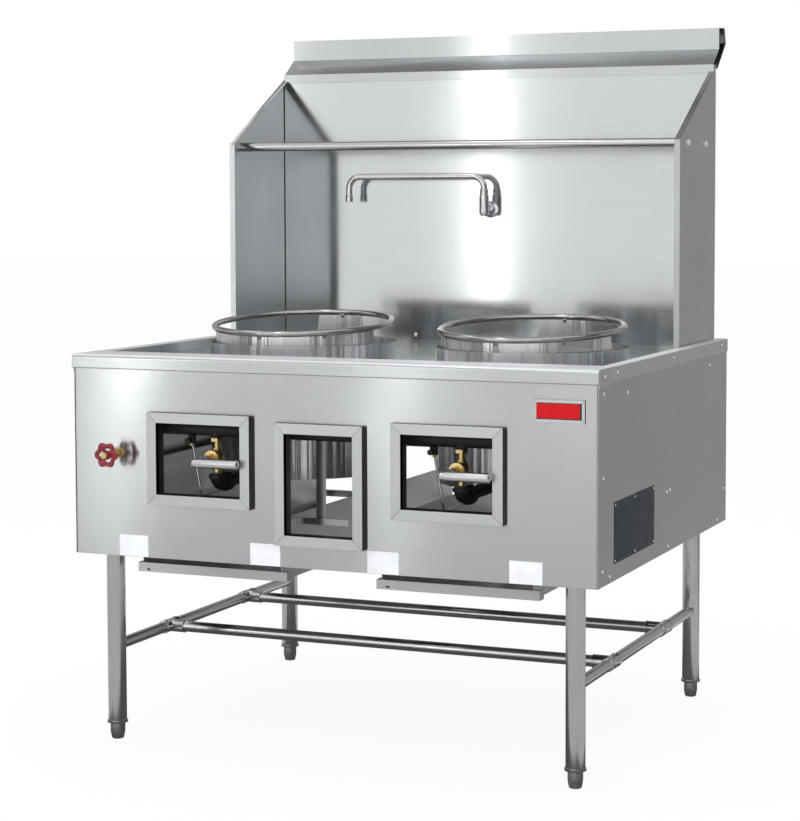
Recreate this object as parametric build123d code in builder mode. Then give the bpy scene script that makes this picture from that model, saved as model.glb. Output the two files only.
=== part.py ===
from build123d import *
import math
import os

os.makedirs("parts", exist_ok=True)

# ---- cabinet ----
CAB_W = 1219.2          # across the side panels
CAB_D = 994.6           # front panel face to rear skin
CAB_BOTTOM = 426.0      # lower edge of the panels above the floor
RIM_TOP = 869.5         # top of the raised rim
WHEEL_REACH = 58.0      # how far the water wheel stands in front of the front panel
CAP_OVERHANG = 90.0     # how far the top cap stands behind the rear skin
SHEET = 1.5             # body sheet
SEAM = 0.3              # gap between pieces that meet
RUN = 0.05              # radial clearance of a turning or sliding fit

FRONT = (WHEEL_REACH - CAP_OVERHANG - CAB_D) / 2
HALF_W = CAB_W / 2
INSIDE = HALF_W - SHEET - SEAM
DECK_TOP = RIM_TOP - 24.5
DECK_UNDER = DECK_TOP - SHEET - SEAM

# ---- rim ----
RIM_SHEET = 2.0
RIM_OUT = HALF_W + SEAM + RIM_SHEET
RIM_DROP = 31.0         # height of the rim face
RIM_PROUD = 5.0         # front rim face in front of the panel
LEDGE_D = 102.0         # front ledge, panel face to its inner edge
CHEEK_D = 81.0          # length of the front rim's corner returns
SIDE_RIM_W = 28.0

# ---- windows in the front panel ----
FRAME_BAR = 22.5
FRAME_PROUD = 14.0
LINER_DEPTH = 20.0
REAR_RAIL_W = 18.0

# ---- wok chambers ----
CHAMBER_X = HALF_W - 321.3
CHAMBER_R = 218.8
CHAMBER_BOTTOM = CAB_BOTTOM + 146
CHAMBER_TOP = RIM_TOP + 5.5
LEDGE_Z = RIM_TOP - 69.5
COLLAR_R = 206.0
COLLAR_SHEET = 2.0
RING_R = 209.0
RING_BAR = 7.0
RING_HALF_TALL = RING_BAR * math.sqrt(3) / 2
ROUND_SIDES = 48        # facets round a chamber, a collar or a ring
RING_Z = RIM_TOP + 47.5
RING_TILT = 3.9
CENTRE_D = CAB_D / 2

# ---- backsplash ----
SPLASH_X = HALF_W - 29.6
SPLASH_FRONT_D = CAB_D - 313.3
SPLASH_REAR_D = CAB_D - 6.3
BACK_FACE_D = CAB_D - 12.3
CAP_TOP = 1624.0
SPLASH_BEND_Z = CAP_TOP - 280
SPLASH_TOP_Z = CAP_TOP - 106
CAP_SHEET = 1.2
BAR_D = SPLASH_FRONT_D + 64
BAR_Z = SPLASH_BEND_Z - 5
BAR_R = 11.0

# ---- faucet ----
SWIVEL_D = BACK_FACE_D - 45
SWIVEL_Z = 1219.0
NECK_LOW = SWIVEL_Z - 50
SPOUT_Z = 1264.6
SPOUT_REACH = 371.0
SPOUT_R = 8.0
SPOUT_BORE = 6.5
FAUCET_Z = 1182.0

# ---- water wheel ----
WHEEL_X = 107.6 - HALF_W
SPINDLE_R = 4.6
WALL_PIPE_D = BACK_FACE_D + 29.7

# ---- gas train ----
PIPE_D = 65.0           # manifold axis behind the panel face
PIPE_Z = RIM_TOP - 160.5
PIPE_R = 16.7
PIPE_SIDE_X = HALF_W - 54.6
MANIFOLD_END_X = 115 - PIPE_SIDE_X
GAS_STUB = 25.0         # threaded end of the manifold behind the rear skin
GAS_STUB_R = 16.2
VALVE_Z = PIPE_Z - 63
WHEEL_Z = VALVE_Z + 7.5
WATER_Z = PIPE_Z + 11
PILOT_Z = CHAMBER_BOTTOM - 16
NAME_Z = RIM_TOP - 85.7
STEM_R = 5.0
GRIP_R = 10.5
GRIP_D = -30.0
GRIP_LONG = 103.0
BURNER_Z = CHAMBER_BOTTOM + 16
SUPPLY_R = 13.5
SUPPLY_TOP = BURNER_Z + 20.5

# ---- drip trays ----
TRAY_X = HALF_W - 320.6
TRAY_HALF = 183.5
TRAY_WALL = 171.0
TRAY_BOTTOM = CAB_BOTTOM - 38
TRAY_FRONT_D = 37.0
TRAY_REAR_D = CAB_D - 94.6
LIP_TOP = CAB_BOTTOM - 18.4
SKIRT_TOP = CAB_BOTTOM + 104
RUNNER_Z = CAB_BOTTOM - 7      # upper face of the runner foot
TRAY_SHEET = 1.2

# ---- stand ----
LEG_X = HALF_W - 66.5
LEG_FRONT_D = 58.1
LEG_REAR_D = CAB_D - 69.4
LEG_R = 20.65
LEG_BORE = 19.15
BEAM_Z = CHAMBER_BOTTOM + 34     # top of the bars along the inside of the side panels
BEAM_SHEET = 3.0
LEG_PLATE = 4.0
LEG_TOP = BEAM_Z - BEAM_SHEET - SEAM - LEG_PLATE
FOOT_TALL = 37.0
FOOT_STEM = 8.0
RAIL_R = 12.7
RAIL_Z = 211.5
CROSS_FRONT_D = LEG_FRONT_D + 239.2
CROSS_REAR_D = LEG_REAR_D - 237.9
TEE_R = 15.6            # corner radius of the twelve-sided tee body
TEE_BORE = 13.5


def at(depth):
    """The y of a point that lies this far behind the face of the front panel."""
    return FRONT + depth


def front_plane(depth):
    """A plane parallel to the front panel; extruding from it goes towards the front."""
    return Plane(origin=(0, at(depth), 0), x_dir=(1, 0, 0), z_dir=(0, -1, 0))


def side_plane(x):
    """A plane across the range; extruding from it goes to the right."""
    return Plane(origin=(x, 0, 0), x_dir=(0, 1, 0), z_dir=(1, 0, 0))


def block(x0, x1, y0, y1, z0, z1, mode=Mode.ADD):
    with Locations(((x0 + x1) / 2, (y0 + y1) / 2, (z0 + z1) / 2)):
        Box(x1 - x0, y1 - y0, z1 - z0, mode=mode)


def disc(radius, sides, mode=Mode.ADD):
    """A circle, or for a small piece a polygon with this many sides."""
    if sides:
        RegularPolygon(radius, sides, rotation=180 / sides, mode=mode)
    else:
        Circle(radius, mode=mode)


def rod(start, end, radius, mode=Mode.ADD, sides=0):
    line = Vector(*end) - Vector(*start)
    with BuildSketch(Plane(origin=start, z_dir=line)) as section:
        disc(radius, sides)
    extrude(section.sketch, amount=line.length, mode=mode)


def hex_bar(start, end, across_flats):
    rod(start, end, across_flats / math.sqrt(3), sides=6)


def folded(plane, points, radii, thickness, side, length):
    """Bends a strip of sheet along the points and extrudes it."""
    with BuildSketch(plane) as section:
        with BuildLine():
            FilletPolyline(*points, radius=radii)
            offset(amount=thickness, side=side)
        make_face()
    extrude(section.sketch, amount=length)


def pipe_run(points, bend, radius, sides=12):
    """Runs a pipe along the points, with an elbow of this bend radius at each corner."""
    corners = [Vector(*point) for point in points]
    route = [corners[0]]
    for before, corner, after in zip(corners, corners[1:], corners[2:]):
        into = (corner - before).normalized()
        out = (after - corner).normalized()
        turn = math.acos(into.dot(out))
        towards = (out - into * out.dot(into)).normalized()
        start = corner - into * bend * math.tan(turn / 2)
        pivot = start + towards * bend
        steps = max(1, round(math.degrees(turn) / 30))
        reach = bend / math.cos(turn / steps / 2)
        for step in range(steps):
            angle = turn * (step + 0.5) / steps
            route.append(pivot + into * reach * math.sin(angle) - towards * reach * math.cos(angle))
    route.append(corners[-1])
    with BuildSketch(Plane(origin=route[0], z_dir=route[1] - route[0])) as section:
        disc(radius, sides)
    with BuildLine() as path:
        Polyline(*route)
    sweep(section.sketch, path=path.line, transition=Transition.RIGHT)


def save(part, name):
    part.label = name
    export_step(part, "parts/" + name + ".step")


# Window sizes: name, centre x, centre z, outer width, outer height
WINDOWS = (
    ("left", -CHAMBER_X - 5.7, VALVE_Z + 0.8, 250.0, 202.0),
    ("middle", -6.5, VALVE_Z - 40.7, 205.0, 262.5),
    ("right", CHAMBER_X - 2.8, VALVE_Z - 0.5, 249.5, 202.0),
)
SIDES = (("left", -1), ("right", 1))

# Screws in each side panel, as (depth, z)
PANEL_SCREWS = (
    (34.3, 818), (32.3, 647.5), (27.3, 458), (73.3, 440.6), (192.3, 808), (484, 561.5),
    (507.3, 563.6), (CAB_D - 25.3, 507), (CAB_D - 86.3, 439), (496, 438.6), (CAB_D - 160.3, 817),
)
RIM_SCREWS = ((34.3, 853.7), (117.3, 857), (528, 857), (CAB_D - 53.7, 857))


# ---- front panel, a shallow pan with three openings and the hole of the water valve ----
with BuildPart() as front_panel:
    folded(
        Plane.XY.offset(CAB_BOTTOM),
        ((-INSIDE, at(46)), (-INSIDE, FRONT), (INSIDE, FRONT), (INSIDE, at(46))),
        2.5, SHEET, Side.LEFT, DECK_UNDER - CAB_BOTTOM,
    )
    block(-INSIDE + 4, INSIDE - 4, FRONT + 0.5, at(16), CAB_BOTTOM, CAB_BOTTOM + SHEET)
    for name, x, z, width, height in WINDOWS:
        cut_w = width - 2 * FRAME_BAR + 2 * (SHEET + SEAM)
        cut_h = height - 2 * FRAME_BAR + 2 * (SHEET + SEAM)
        with Locations((x, at(1), z)):
            Box(cut_w, 8, cut_h, mode=Mode.SUBTRACT)
    rod((WHEEL_X, at(-2), WHEEL_Z), (WHEEL_X, at(4), WHEEL_Z), 12.3, Mode.SUBTRACT, 12)
save(front_panel.part, "front_panel")

# ---- window frames: a mitred face with an outer return, and a black liner behind ----
for name, x, z, width, height in WINDOWS:
    inner_w = width - 2 * FRAME_BAR
    inner_h = height - 2 * FRAME_BAR
    with BuildPart() as window_frame:
        with BuildSketch(front_plane(-FRAME_PROUD + SHEET)):
            with Locations((x, z)):
                Rectangle(width, height)
                Rectangle(inner_w, inner_h, mode=Mode.SUBTRACT)
        extrude(amount=SHEET)
        with BuildSketch(front_plane(-SEAM)):
            with Locations((x, z)):
                Rectangle(width, height)
                Rectangle(width - 2 * SHEET, height - 2 * SHEET, mode=Mode.SUBTRACT)
        extrude(amount=FRAME_PROUD - SEAM)
        with BuildSketch(front_plane(-FRAME_PROUD)):
            for sx in (-1, 1):
                for sz in (-1, 1):
                    mid_x = x + sx * (width - FRAME_BAR) / 2
                    mid_z = z + sz * (height - FRAME_BAR) / 2
                    with Locations(Location((mid_x, mid_z, 0), (0, 0, 45 * sx * sz))):
                        Rectangle(FRAME_BAR * 1.38, 0.5)
        extrude(amount=-0.5, mode=Mode.SUBTRACT)
    save(window_frame.part, "window_frame_" + name)

with BuildPart() as window_liners:
    for name, x, z, width, height in WINDOWS:
        inner_w = width - 2 * FRAME_BAR
        inner_h = height - 2 * FRAME_BAR
        with BuildSketch(front_plane(LINER_DEPTH)):
            with Locations((x, z)):
                Rectangle(inner_w + 2 * SHEET, inner_h + 2 * SHEET)
                Rectangle(inner_w, inner_h, mode=Mode.SUBTRACT)
        extrude(amount=LINER_DEPTH + FRAME_PROUD - SHEET - SEAM)
save(window_liners.part, "window_liners")

# ---- side panels with a bottom return ----
for side, sx in SIDES:
    with BuildPart() as side_panel:
        x0 = sx * (HALF_W - SHEET)
        x1 = sx * HALF_W
        block(min(x0, x1), max(x0, x1), FRONT, at(CAB_D), CAB_BOTTOM, RIM_TOP - 4)
        inner = sx * (HALF_W - 16)
        block(min(inner, x1), max(inner, x1), at(50), at(CAB_D - 10), CAB_BOTTOM, CAB_BOTTOM + SHEET)
    save(side_panel.part, "side_panel_" + side)

# ---- rear: closed above the opening, a rail below it ----
with BuildPart() as rear_skin:
    block(-INSIDE, INSIDE, at(CAB_D - SHEET), at(CAB_D), CHAMBER_BOTTOM, DECK_TOP)
    block(-INSIDE, INSIDE, at(CAB_D - 14), at(CAB_D), CHAMBER_BOTTOM, CHAMBER_BOTTOM + SHEET)
    rod((PIPE_SIDE_X, at(CAB_D - 15), PIPE_Z), (PIPE_SIDE_X, at(CAB_D + 5), PIPE_Z), PIPE_R + 1, Mode.SUBTRACT, 16)
    water_hole = ((-PIPE_SIDE_X, at(CAB_D - 15), WATER_Z), (-PIPE_SIDE_X, at(CAB_D + 5), WATER_Z))
    rod(*water_hole, 9.5, Mode.SUBTRACT, 8)
save(rear_skin.part, "rear_skin")

with BuildPart() as rear_rail:
    folded(
        side_plane(-INSIDE),
        (
            (at(CAB_D), CAB_BOTTOM + 2), (at(CAB_D), CAB_BOTTOM + 20),
            (at(CAB_D - REAR_RAIL_W), CAB_BOTTOM + 20),
        ),
        2.5, SHEET, Side.LEFT, 2 * INSIDE,
    )
save(rear_rail.part, "rear_rail")

# ---- front rim: rounded front edge, ledge, down-turn at the deck, cheeks at the ends ----
with BuildPart() as front_rim:
    rim_low = RIM_TOP - RIM_DROP
    folded(
        side_plane(-RIM_OUT),
        (
            (at(-SEAM), rim_low), (at(-RIM_PROUD), rim_low), (at(-RIM_PROUD), RIM_TOP),
            (at(LEDGE_D), RIM_TOP), (at(LEDGE_D), DECK_TOP + SEAM),
        ),
        (2.5, 8.0, 2.5), RIM_SHEET, Side.RIGHT, 2 * RIM_OUT,
    )
    for side, sx in SIDES:
        x0 = sx * (RIM_OUT - RIM_SHEET)
        x1 = sx * RIM_OUT
        with BuildSketch(side_plane(min(x0, x1))):
            with BuildLine():
                FilletPolyline(
                    (at(CHEEK_D), RIM_TOP - 1), (at(CHEEK_D), rim_low - 7), (at(0), rim_low - 7),
                    (at(0), rim_low), (at(-RIM_PROUD), rim_low), (at(-RIM_PROUD), RIM_TOP),
                    (at(CHEEK_D), RIM_TOP),
                    radius=(2, 2, 1.0, 2.5, 7.9),
                )
                Line((at(CHEEK_D), RIM_TOP), (at(CHEEK_D), RIM_TOP - 1))
            make_face()
        extrude(amount=RIM_SHEET)
    # the down-turn leaves room for the side rims
    for side, sx in SIDES:
        x0 = sx * (RIM_OUT - SIDE_RIM_W - SEAM)
        x1 = sx * (RIM_OUT + 1)
        block(
            min(x0, x1), max(x0, x1), at(LEDGE_D - RIM_SHEET - 1), at(LEDGE_D + 1), DECK_TOP - 1,
            RIM_TOP - RIM_SHEET, Mode.SUBTRACT,
        )
save(front_rim.part, "front_rim")

# ---- side rims: inverted channels with the outer flange carried forward to the cheeks ----
for side, sx in SIDES:
    with BuildPart() as side_rim:
        turn = Side.RIGHT if sx > 0 else Side.LEFT
        folded(
            front_plane(CAB_D),
            (
                (sx * (RIM_OUT - SIDE_RIM_W), DECK_TOP + SEAM), (sx * (RIM_OUT - SIDE_RIM_W), RIM_TOP),
                (sx * RIM_OUT, RIM_TOP), (sx * RIM_OUT, RIM_TOP - RIM_DROP),
            ),
            3.0, RIM_SHEET, turn, CAB_D - LEDGE_D - SEAM,
        )
        x0 = sx * (RIM_OUT - RIM_SHEET)
        x1 = sx * RIM_OUT
        block(
            min(x0, x1), max(x0, x1), at(CHEEK_D + SEAM), at(LEDGE_D + 1),
            RIM_TOP - RIM_DROP, RIM_TOP - RIM_SHEET - SEAM,
        )
    save(side_rim.part, "side_rim_" + side)

# ---- sunk deck with the chamber holes and the drain hole ----
DRAIN_D = CAB_D - 134.6
with BuildPart() as deck:
    block(-INSIDE, INSIDE, at(SHEET), at(CAB_D - SHEET - SEAM), DECK_TOP - SHEET, DECK_TOP)
    for x in (-CHAMBER_X, CHAMBER_X):
        centre = (x, at(CENTRE_D))
        rod((*centre, DECK_TOP - 20), (*centre, RIM_TOP), CHAMBER_R + SEAM, Mode.SUBTRACT, ROUND_SIDES)
    rod((0, at(DRAIN_D), DECK_TOP - 20), (0, at(DRAIN_D), RIM_TOP), 22, Mode.SUBTRACT, 12)
save(deck.part, "deck")

with BuildPart() as deck_drain:
    rod((0, at(DRAIN_D), DECK_TOP), (0, at(DRAIN_D), DECK_TOP + 1.5), 30, sides=24)
    rod((0, at(DRAIN_D), DECK_TOP - 60), (0, at(DRAIN_D), DECK_TOP), 19)
    rod((0, at(DRAIN_D), DECK_TOP - 61), (0, at(DRAIN_D), DECK_TOP - 4), 16.5, Mode.SUBTRACT, 16)
    for angle in range(0, 360, 60):
        x = 9 * math.cos(math.radians(angle))
        y = at(DRAIN_D) + 9 * math.sin(math.radians(angle))
        rod((x, y, DECK_TOP - 5), (x, y, DECK_TOP + 3), 3, Mode.SUBTRACT, 6)
save(deck_drain.part, "deck_drain")

# ---- wok chambers: sheet cylinder, four brackets for the collar, burner bar ----
for side, sx in SIDES:
    with BuildPart() as chamber:
        centre = (sx * CHAMBER_X, at(CENTRE_D))
        with BuildSketch(Plane.XY.offset(CHAMBER_BOTTOM)):
            with Locations(centre):
                disc(CHAMBER_R, ROUND_SIDES)
                disc(CHAMBER_R - SHEET, ROUND_SIDES, Mode.SUBTRACT)
        extrude(amount=CHAMBER_TOP - CHAMBER_BOTTOM)
        for dx, dy in ((-1, 0), (1, 0), (0, -1), (0, 1)):
            near = CHAMBER_R - 24
            far = CHAMBER_R - 1
            x0 = centre[0] + (dx * near if dx else -12)
            x1 = centre[0] + (dx * far if dx else 12)
            y0 = centre[1] + (dy * near if dy else -12)
            y1 = centre[1] + (dy * far if dy else 12)
            block(min(x0, x1), max(x0, x1), min(y0, y1), max(y0, y1), LEDGE_Z - 4, LEDGE_Z)
        block(
            centre[0] - CHAMBER_R + 1, centre[0] + CHAMBER_R - 1, centre[1] - 15, centre[1] + 15,
            CHAMBER_BOTTOM + 2, CHAMBER_BOTTOM + 7,
        )
        block(
            centre[0] - SUPPLY_R - 5, centre[0] + SUPPLY_R + 5, centre[1] - CHAMBER_R - 5,
            centre[1] - CHAMBER_R + 12, CHAMBER_BOTTOM - 1, BURNER_Z + SUPPLY_R + 5, Mode.SUBTRACT,
        )
    save(chamber.part, "chamber_" + side)

# ---- lift-off wok ring on its inner collar; the collar's top follows the tilt of the ring ----
for side, sx in SIDES:
    centre = (sx * CHAMBER_X, at(CENTRE_D))
    tilted = Plane(origin=(centre[0], centre[1], RING_Z)).rotated((RING_TILT, 0, 0))
    with BuildPart() as collar:
        with BuildSketch(Plane.XY.offset(LEDGE_Z)):
            with Locations(centre):
                disc(COLLAR_R, ROUND_SIDES)
                disc(COLLAR_R - COLLAR_SHEET, ROUND_SIDES, Mode.SUBTRACT)
        extrude(amount=160)
        with BuildSketch(tilted.offset(-RING_HALF_TALL - SEAM)):
            Circle(CHAMBER_R + 30)
        extrude(amount=90, mode=Mode.SUBTRACT)
        # two vents at the back, left and right of the rear tab
        for start, end in ((-12, 72), (106, 192)):
            with BuildSketch(Plane.XY.offset(RING_Z - 55)):
                with BuildLine():
                    fan = [
                        (
                            centre[0] + 300 * math.cos(math.radians(start + (end - start) * step / 4)),
                            centre[1] + 300 * math.sin(math.radians(start + (end - start) * step / 4)),
                        )
                        for step in range(5)
                    ]
                    Polyline(centre, *fan, close=True)
                make_face()
            extrude(amount=100, mode=Mode.SUBTRACT)
    save(collar.part, "collar_" + side)
    with BuildPart() as wok_ring:
        for way, mode in ((1, Mode.ADD), (-1, Mode.SUBTRACT)):
            levels = (
                (-RING_HALF_TALL, RING_BAR / 2), (0, RING_BAR), (RING_HALF_TALL, RING_BAR / 2),
            )
            for low, high in zip(levels, levels[1:]):
                for height, bulge in (low, high):
                    with BuildSketch(tilted.offset(height)):
                        disc(RING_R + way * bulge, ROUND_SIDES)
                loft(ruled=True, mode=mode)
    save(wok_ring.part, "wok_ring_" + side)

# ---- burners: a cast head with hexagonal jets ----
for side, sx in SIDES:
    with BuildPart() as burner:
        centre = (sx * CHAMBER_X, at(CENTRE_D))
        low = CHAMBER_BOTTOM + 7 + SEAM
        rod((*centre, low), (*centre, low + 26), 70, sides=24)
        rod((centre[0], centre[1] - 60, BURNER_Z + 5), (centre[0], centre[1] - 90, BURNER_Z + 5), 18, sides=12)
        with BuildSketch(Plane.XY.offset(low + 26)):
            with Locations(centre):
                RegularPolygon(7, 6)
                with PolarLocations(27, 6):
                    RegularPolygon(7, 6)
                with PolarLocations(54, 12):
                    RegularPolygon(7, 6)
        extrude(amount=26)
    save(burner.part, "burner_" + side)

# ---- gas manifold across the front and back along the right side ----
with BuildPart() as gas_manifold:
    pipe_run(
        (
            (MANIFOLD_END_X, at(PIPE_D), PIPE_Z), (PIPE_SIDE_X, at(PIPE_D), PIPE_Z),
            (PIPE_SIDE_X, at(CAB_D), PIPE_Z),
        ),
        30, PIPE_R, 16,
    )
    rod((PIPE_SIDE_X, at(CAB_D - 1), PIPE_Z), (PIPE_SIDE_X, at(CAB_D + GAS_STUB), PIPE_Z), GAS_STUB_R)
    cap_end = MANIFOLD_END_X - 15
    rod((cap_end, at(PIPE_D), PIPE_Z), (cap_end + 25, at(PIPE_D), PIPE_Z), 20, sides=8)
    for x in (-CHAMBER_X, CHAMBER_X):
        rod((x, at(PIPE_D), PIPE_Z - PIPE_R - 2), (x, at(PIPE_D), PIPE_Z), 14, sides=8)
save(gas_manifold.part, "gas_manifold")

with BuildPart() as pipe_hangers:
    for x in (-139, 132):
        block(x - 1.5, x + 1.5, at(PIPE_D - 25), at(PIPE_D + 25), PIPE_Z - 26, DECK_UNDER)
        block(x - 1.5, x + 22, at(PIPE_D - 25), at(PIPE_D + 25), DECK_UNDER - 3, DECK_UNDER)
        rod((x - 4, at(PIPE_D), PIPE_Z), (x + 4, at(PIPE_D), PIPE_Z), PIPE_R + 0.8, Mode.SUBTRACT, 16)
save(pipe_hangers.part, "pipe_hangers")

# ---- gas valves: nut, nipple, body and a bonnet that faces the front ----
for side, sx in SIDES:
    x = sx * CHAMBER_X
    hex_top = PIPE_Z - PIPE_R - 2 - SEAM
    with BuildPart() as gas_valve:
        hex_bar((x, at(PIPE_D), hex_top - 9.5), (x, at(PIPE_D), hex_top), 25)
        rod((x, at(PIPE_D), VALVE_Z + 20), (x, at(PIPE_D), hex_top - 9), 6.8, sides=8)
        rod((x, at(PIPE_D), VALVE_Z - 12), (x, at(PIPE_D), VALVE_Z + 14), 16, sides=12)
        rod((x, at(PIPE_D), VALVE_Z - 22), (x, at(PIPE_D), VALVE_Z + 22), 11, sides=12)
        rod((x, at(PIPE_D), VALVE_Z), (x, at(PIPE_D - 26), VALVE_Z), 12, sides=12)
        rod((x, at(PIPE_D - 22), VALVE_Z), (x, at(PIPE_D - 28), VALVE_Z), 18, sides=20)
        hex_bar((x, at(PIPE_D - 28), VALVE_Z), (x, at(PIPE_D - 36), VALVE_Z), 20)
        rod((x, at(PIPE_D), SUPPLY_TOP + 0.5), (x, at(PIPE_D), VALVE_Z - 20), 8, sides=8)
        rod((x, at(PIPE_D - 40), VALVE_Z), (x, at(PIPE_D - 8), VALVE_Z), STEM_R + RUN, Mode.SUBTRACT)
    save(gas_valve.part, "gas_valve_" + side)

# ---- levers: stem, looped flat strap and a round grip in front of the window frame ----
for side, sx in SIDES:
    x = sx * CHAMBER_X
    with BuildPart() as lever:
        rod((x, at(4), VALVE_Z), (x, at(PIPE_D - 10), VALVE_Z), STEM_R)
        rod((x, at(6), VALVE_Z), (x, at(18), VALVE_Z), 9, sides=12)
        with BuildSketch(Plane.XY.offset(VALVE_Z - 8)):
            with BuildLine():
                FilletPolyline(
                    (x, at(13)), (x - 18, at(13)), (x - 18, at(GRIP_D)), (x + 6, at(GRIP_D)),
                    radius=9,
                )
                offset(amount=3, side=Side.LEFT)
            make_face()
        extrude(amount=12)
        grip_y = at(GRIP_D + 1.5)
        rod((x - 1, grip_y, VALVE_Z - 2), (x - 1 + GRIP_LONG, grip_y, VALVE_Z - 2), GRIP_R, sides=16)
    save(lever.part, "lever_" + side)

# ---- black iron elbows and the pipes to the burners ----
for side, sx in SIDES:
    x = sx * CHAMBER_X
    with BuildPart() as supply:
        pipe_run(
            (
                (x, at(PIPE_D), SUPPLY_TOP - 0.5), (x, at(PIPE_D), BURNER_Z),
                (x, at(PIPE_D + 40), BURNER_Z),
            ),
            19.5, 15.5,
        )
        rod((x, at(PIPE_D), SUPPLY_TOP - 8.5), (x, at(PIPE_D), SUPPLY_TOP), 18.5, sides=12)
        rod((x, at(PIPE_D + 30), BURNER_Z), (x, at(PIPE_D + 50), BURNER_Z), 21, sides=12)
        rod((x, at(PIPE_D + 45), BURNER_Z), (x, at(CENTRE_D - 90 - SEAM), BURNER_Z), SUPPLY_R, sides=12)
    save(supply.part, "supply_pipe_" + side)

# ---- pilot valves under the manifold with tubes that end beside the burners ----
with BuildPart() as pilots:
    for side, sx in SIDES:
        x = sx * CHAMBER_X - 62
        with Locations((x, at(PIPE_D), PIPE_Z - PIPE_R - 9 - SEAM)):
            Box(16, 16, 18)
        rod((x, at(PIPE_D - 22), PIPE_Z - 27), (x, at(PIPE_D), PIPE_Z - 27), 5, sides=8)
        pipe_run(
            (
                (x, at(PIPE_D), PIPE_Z - PIPE_R - 12), (x + 22, at(PIPE_D + 2), PILOT_Z),
                (x - 20, at(CENTRE_D - 60), PILOT_Z), (x - 20, at(CENTRE_D - 60), PILOT_Z + 72),
            ),
            14, 3, sides=6,
        )
save(pilots.part, "pilots")

# ---- drip trays: shallow pans with side flanges and a folded front lip ----
for side, sx in SIDES:
    x = sx * TRAY_X
    with BuildPart() as tray:
        y0 = at(TRAY_FRONT_D)
        y1 = at(TRAY_REAR_D)
        flange_low = RUNNER_Z + SEAM
        block(x - TRAY_WALL, x + TRAY_WALL, y0, y1, TRAY_BOTTOM, TRAY_BOTTOM + TRAY_SHEET)
        block(
            x - TRAY_WALL, x + TRAY_WALL, y1 - TRAY_SHEET, y1, TRAY_BOTTOM, flange_low + TRAY_SHEET
        )
        for wx in (-1, 1):
            outer = x + wx * TRAY_WALL
            inner = outer - wx * TRAY_SHEET
            edge = x + wx * TRAY_HALF
            block(min(inner, outer), max(inner, outer), y0, y1, TRAY_BOTTOM, flange_low + TRAY_SHEET)
            block(
                min(inner, edge), max(inner, edge), at(TRAY_FRONT_D + 10), y1,
                flange_low, flange_low + TRAY_SHEET,
            )
            block(
                min(edge - wx * TRAY_SHEET, edge), max(edge - wx * TRAY_SHEET, edge),
                y0, y0 + 26, TRAY_BOTTOM - 1, LIP_TOP,
            )
        block(x - TRAY_HALF, x + TRAY_HALF, y0, y0 + TRAY_SHEET, TRAY_BOTTOM - 1, LIP_TOP)
        block(x - TRAY_HALF, x + TRAY_HALF, y0, y0 + 9, LIP_TOP - TRAY_SHEET, LIP_TOP)
        block(x - TRAY_HALF, x + TRAY_HALF, y0, y0 + 9, TRAY_BOTTOM - 1, TRAY_BOTTOM + 0.2)
        block(
            x - TRAY_HALF + 22, x - TRAY_HALF + 30, y0 - 1, y0 + 3, TRAY_BOTTOM + 3, TRAY_BOTTOM + 7,
            Mode.SUBTRACT,
        )
    save(tray.part, "drip_tray_" + side)

# ---- skirts beside the trays, each with a foot that the tray flange runs on ----
with BuildPart() as tray_skirts:
    skirt_end = CAB_D - REAR_RAIL_W - SEAM
    for x in (-TRAY_X, TRAY_X):
        for wx in (-1, 1):
            outer = x + wx * (TRAY_HALF + SHEET + TRAY_SHEET)
            inner = outer - wx * SHEET
            foot = x + wx * (TRAY_WALL + 2)
            block(
                min(inner, outer), max(inner, outer), at(50), at(skirt_end), RUNNER_Z - SHEET, SKIRT_TOP
            )
            block(
                min(foot, outer), max(foot, outer), at(50), at(skirt_end), RUNNER_Z - SHEET, RUNNER_Z
            )
save(tray_skirts.part, "tray_skirts")

# ---- inner frame: strap and bracket behind the middle window, bars along the sides ----
with BuildPart() as inner_frame:
    skirt = -TRAY_X + TRAY_HALF + SHEET + TRAY_SHEET
    block(skirt + SEAM, 21, at(81), at(84), SKIRT_TOP - 22, SKIRT_TOP - 8)
    block(-57, -35, at(84), at(86.5), SKIRT_TOP - 22, DECK_UNDER)
    for sx in (-1, 1):
        wall = sx * INSIDE
        toe = sx * (INSIDE - 30)
        leg = sx * (INSIDE - BEAM_SHEET)
        block(min(wall, toe), max(wall, toe), at(50), at(CAB_D - 17), BEAM_Z - BEAM_SHEET, BEAM_Z)
        block(min(wall, leg), max(wall, leg), at(50), at(CAB_D - 17), BEAM_Z - 30, BEAM_Z)
save(inner_frame.part, "inner_frame")

# ---- backsplash side panels: vertical front edge, slanted upper edge, folded flange ----
for side, sx in SIDES:
    with BuildPart() as splash_side:
        low = DECK_TOP + SEAM
        outline = (
            (at(SPLASH_REAR_D), low), (at(SPLASH_FRONT_D), low), (at(SPLASH_FRONT_D), SPLASH_BEND_Z),
            (at(SPLASH_REAR_D - 5), SPLASH_TOP_Z), (at(SPLASH_REAR_D), SPLASH_TOP_Z),
        )
        web_x = sx * SPLASH_X if sx < 0 else SPLASH_X - SHEET
        with BuildSketch(side_plane(web_x)):
            Polygon(*outline, align=None)
        extrude(amount=SHEET)
        flange_x = -SPLASH_X if sx < 0 else SPLASH_X - 14
        with BuildSketch(side_plane(flange_x)):
            with BuildLine():
                Polyline(outline[1], outline[2], (at(SPLASH_REAR_D - 12), SPLASH_TOP_Z - 4))
                offset(amount=SHEET, side=Side.RIGHT, kind=Kind.INTERSECTION)
            make_face()
        extrude(amount=14)
    save(splash_side.part, "splash_side_" + side)

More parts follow.
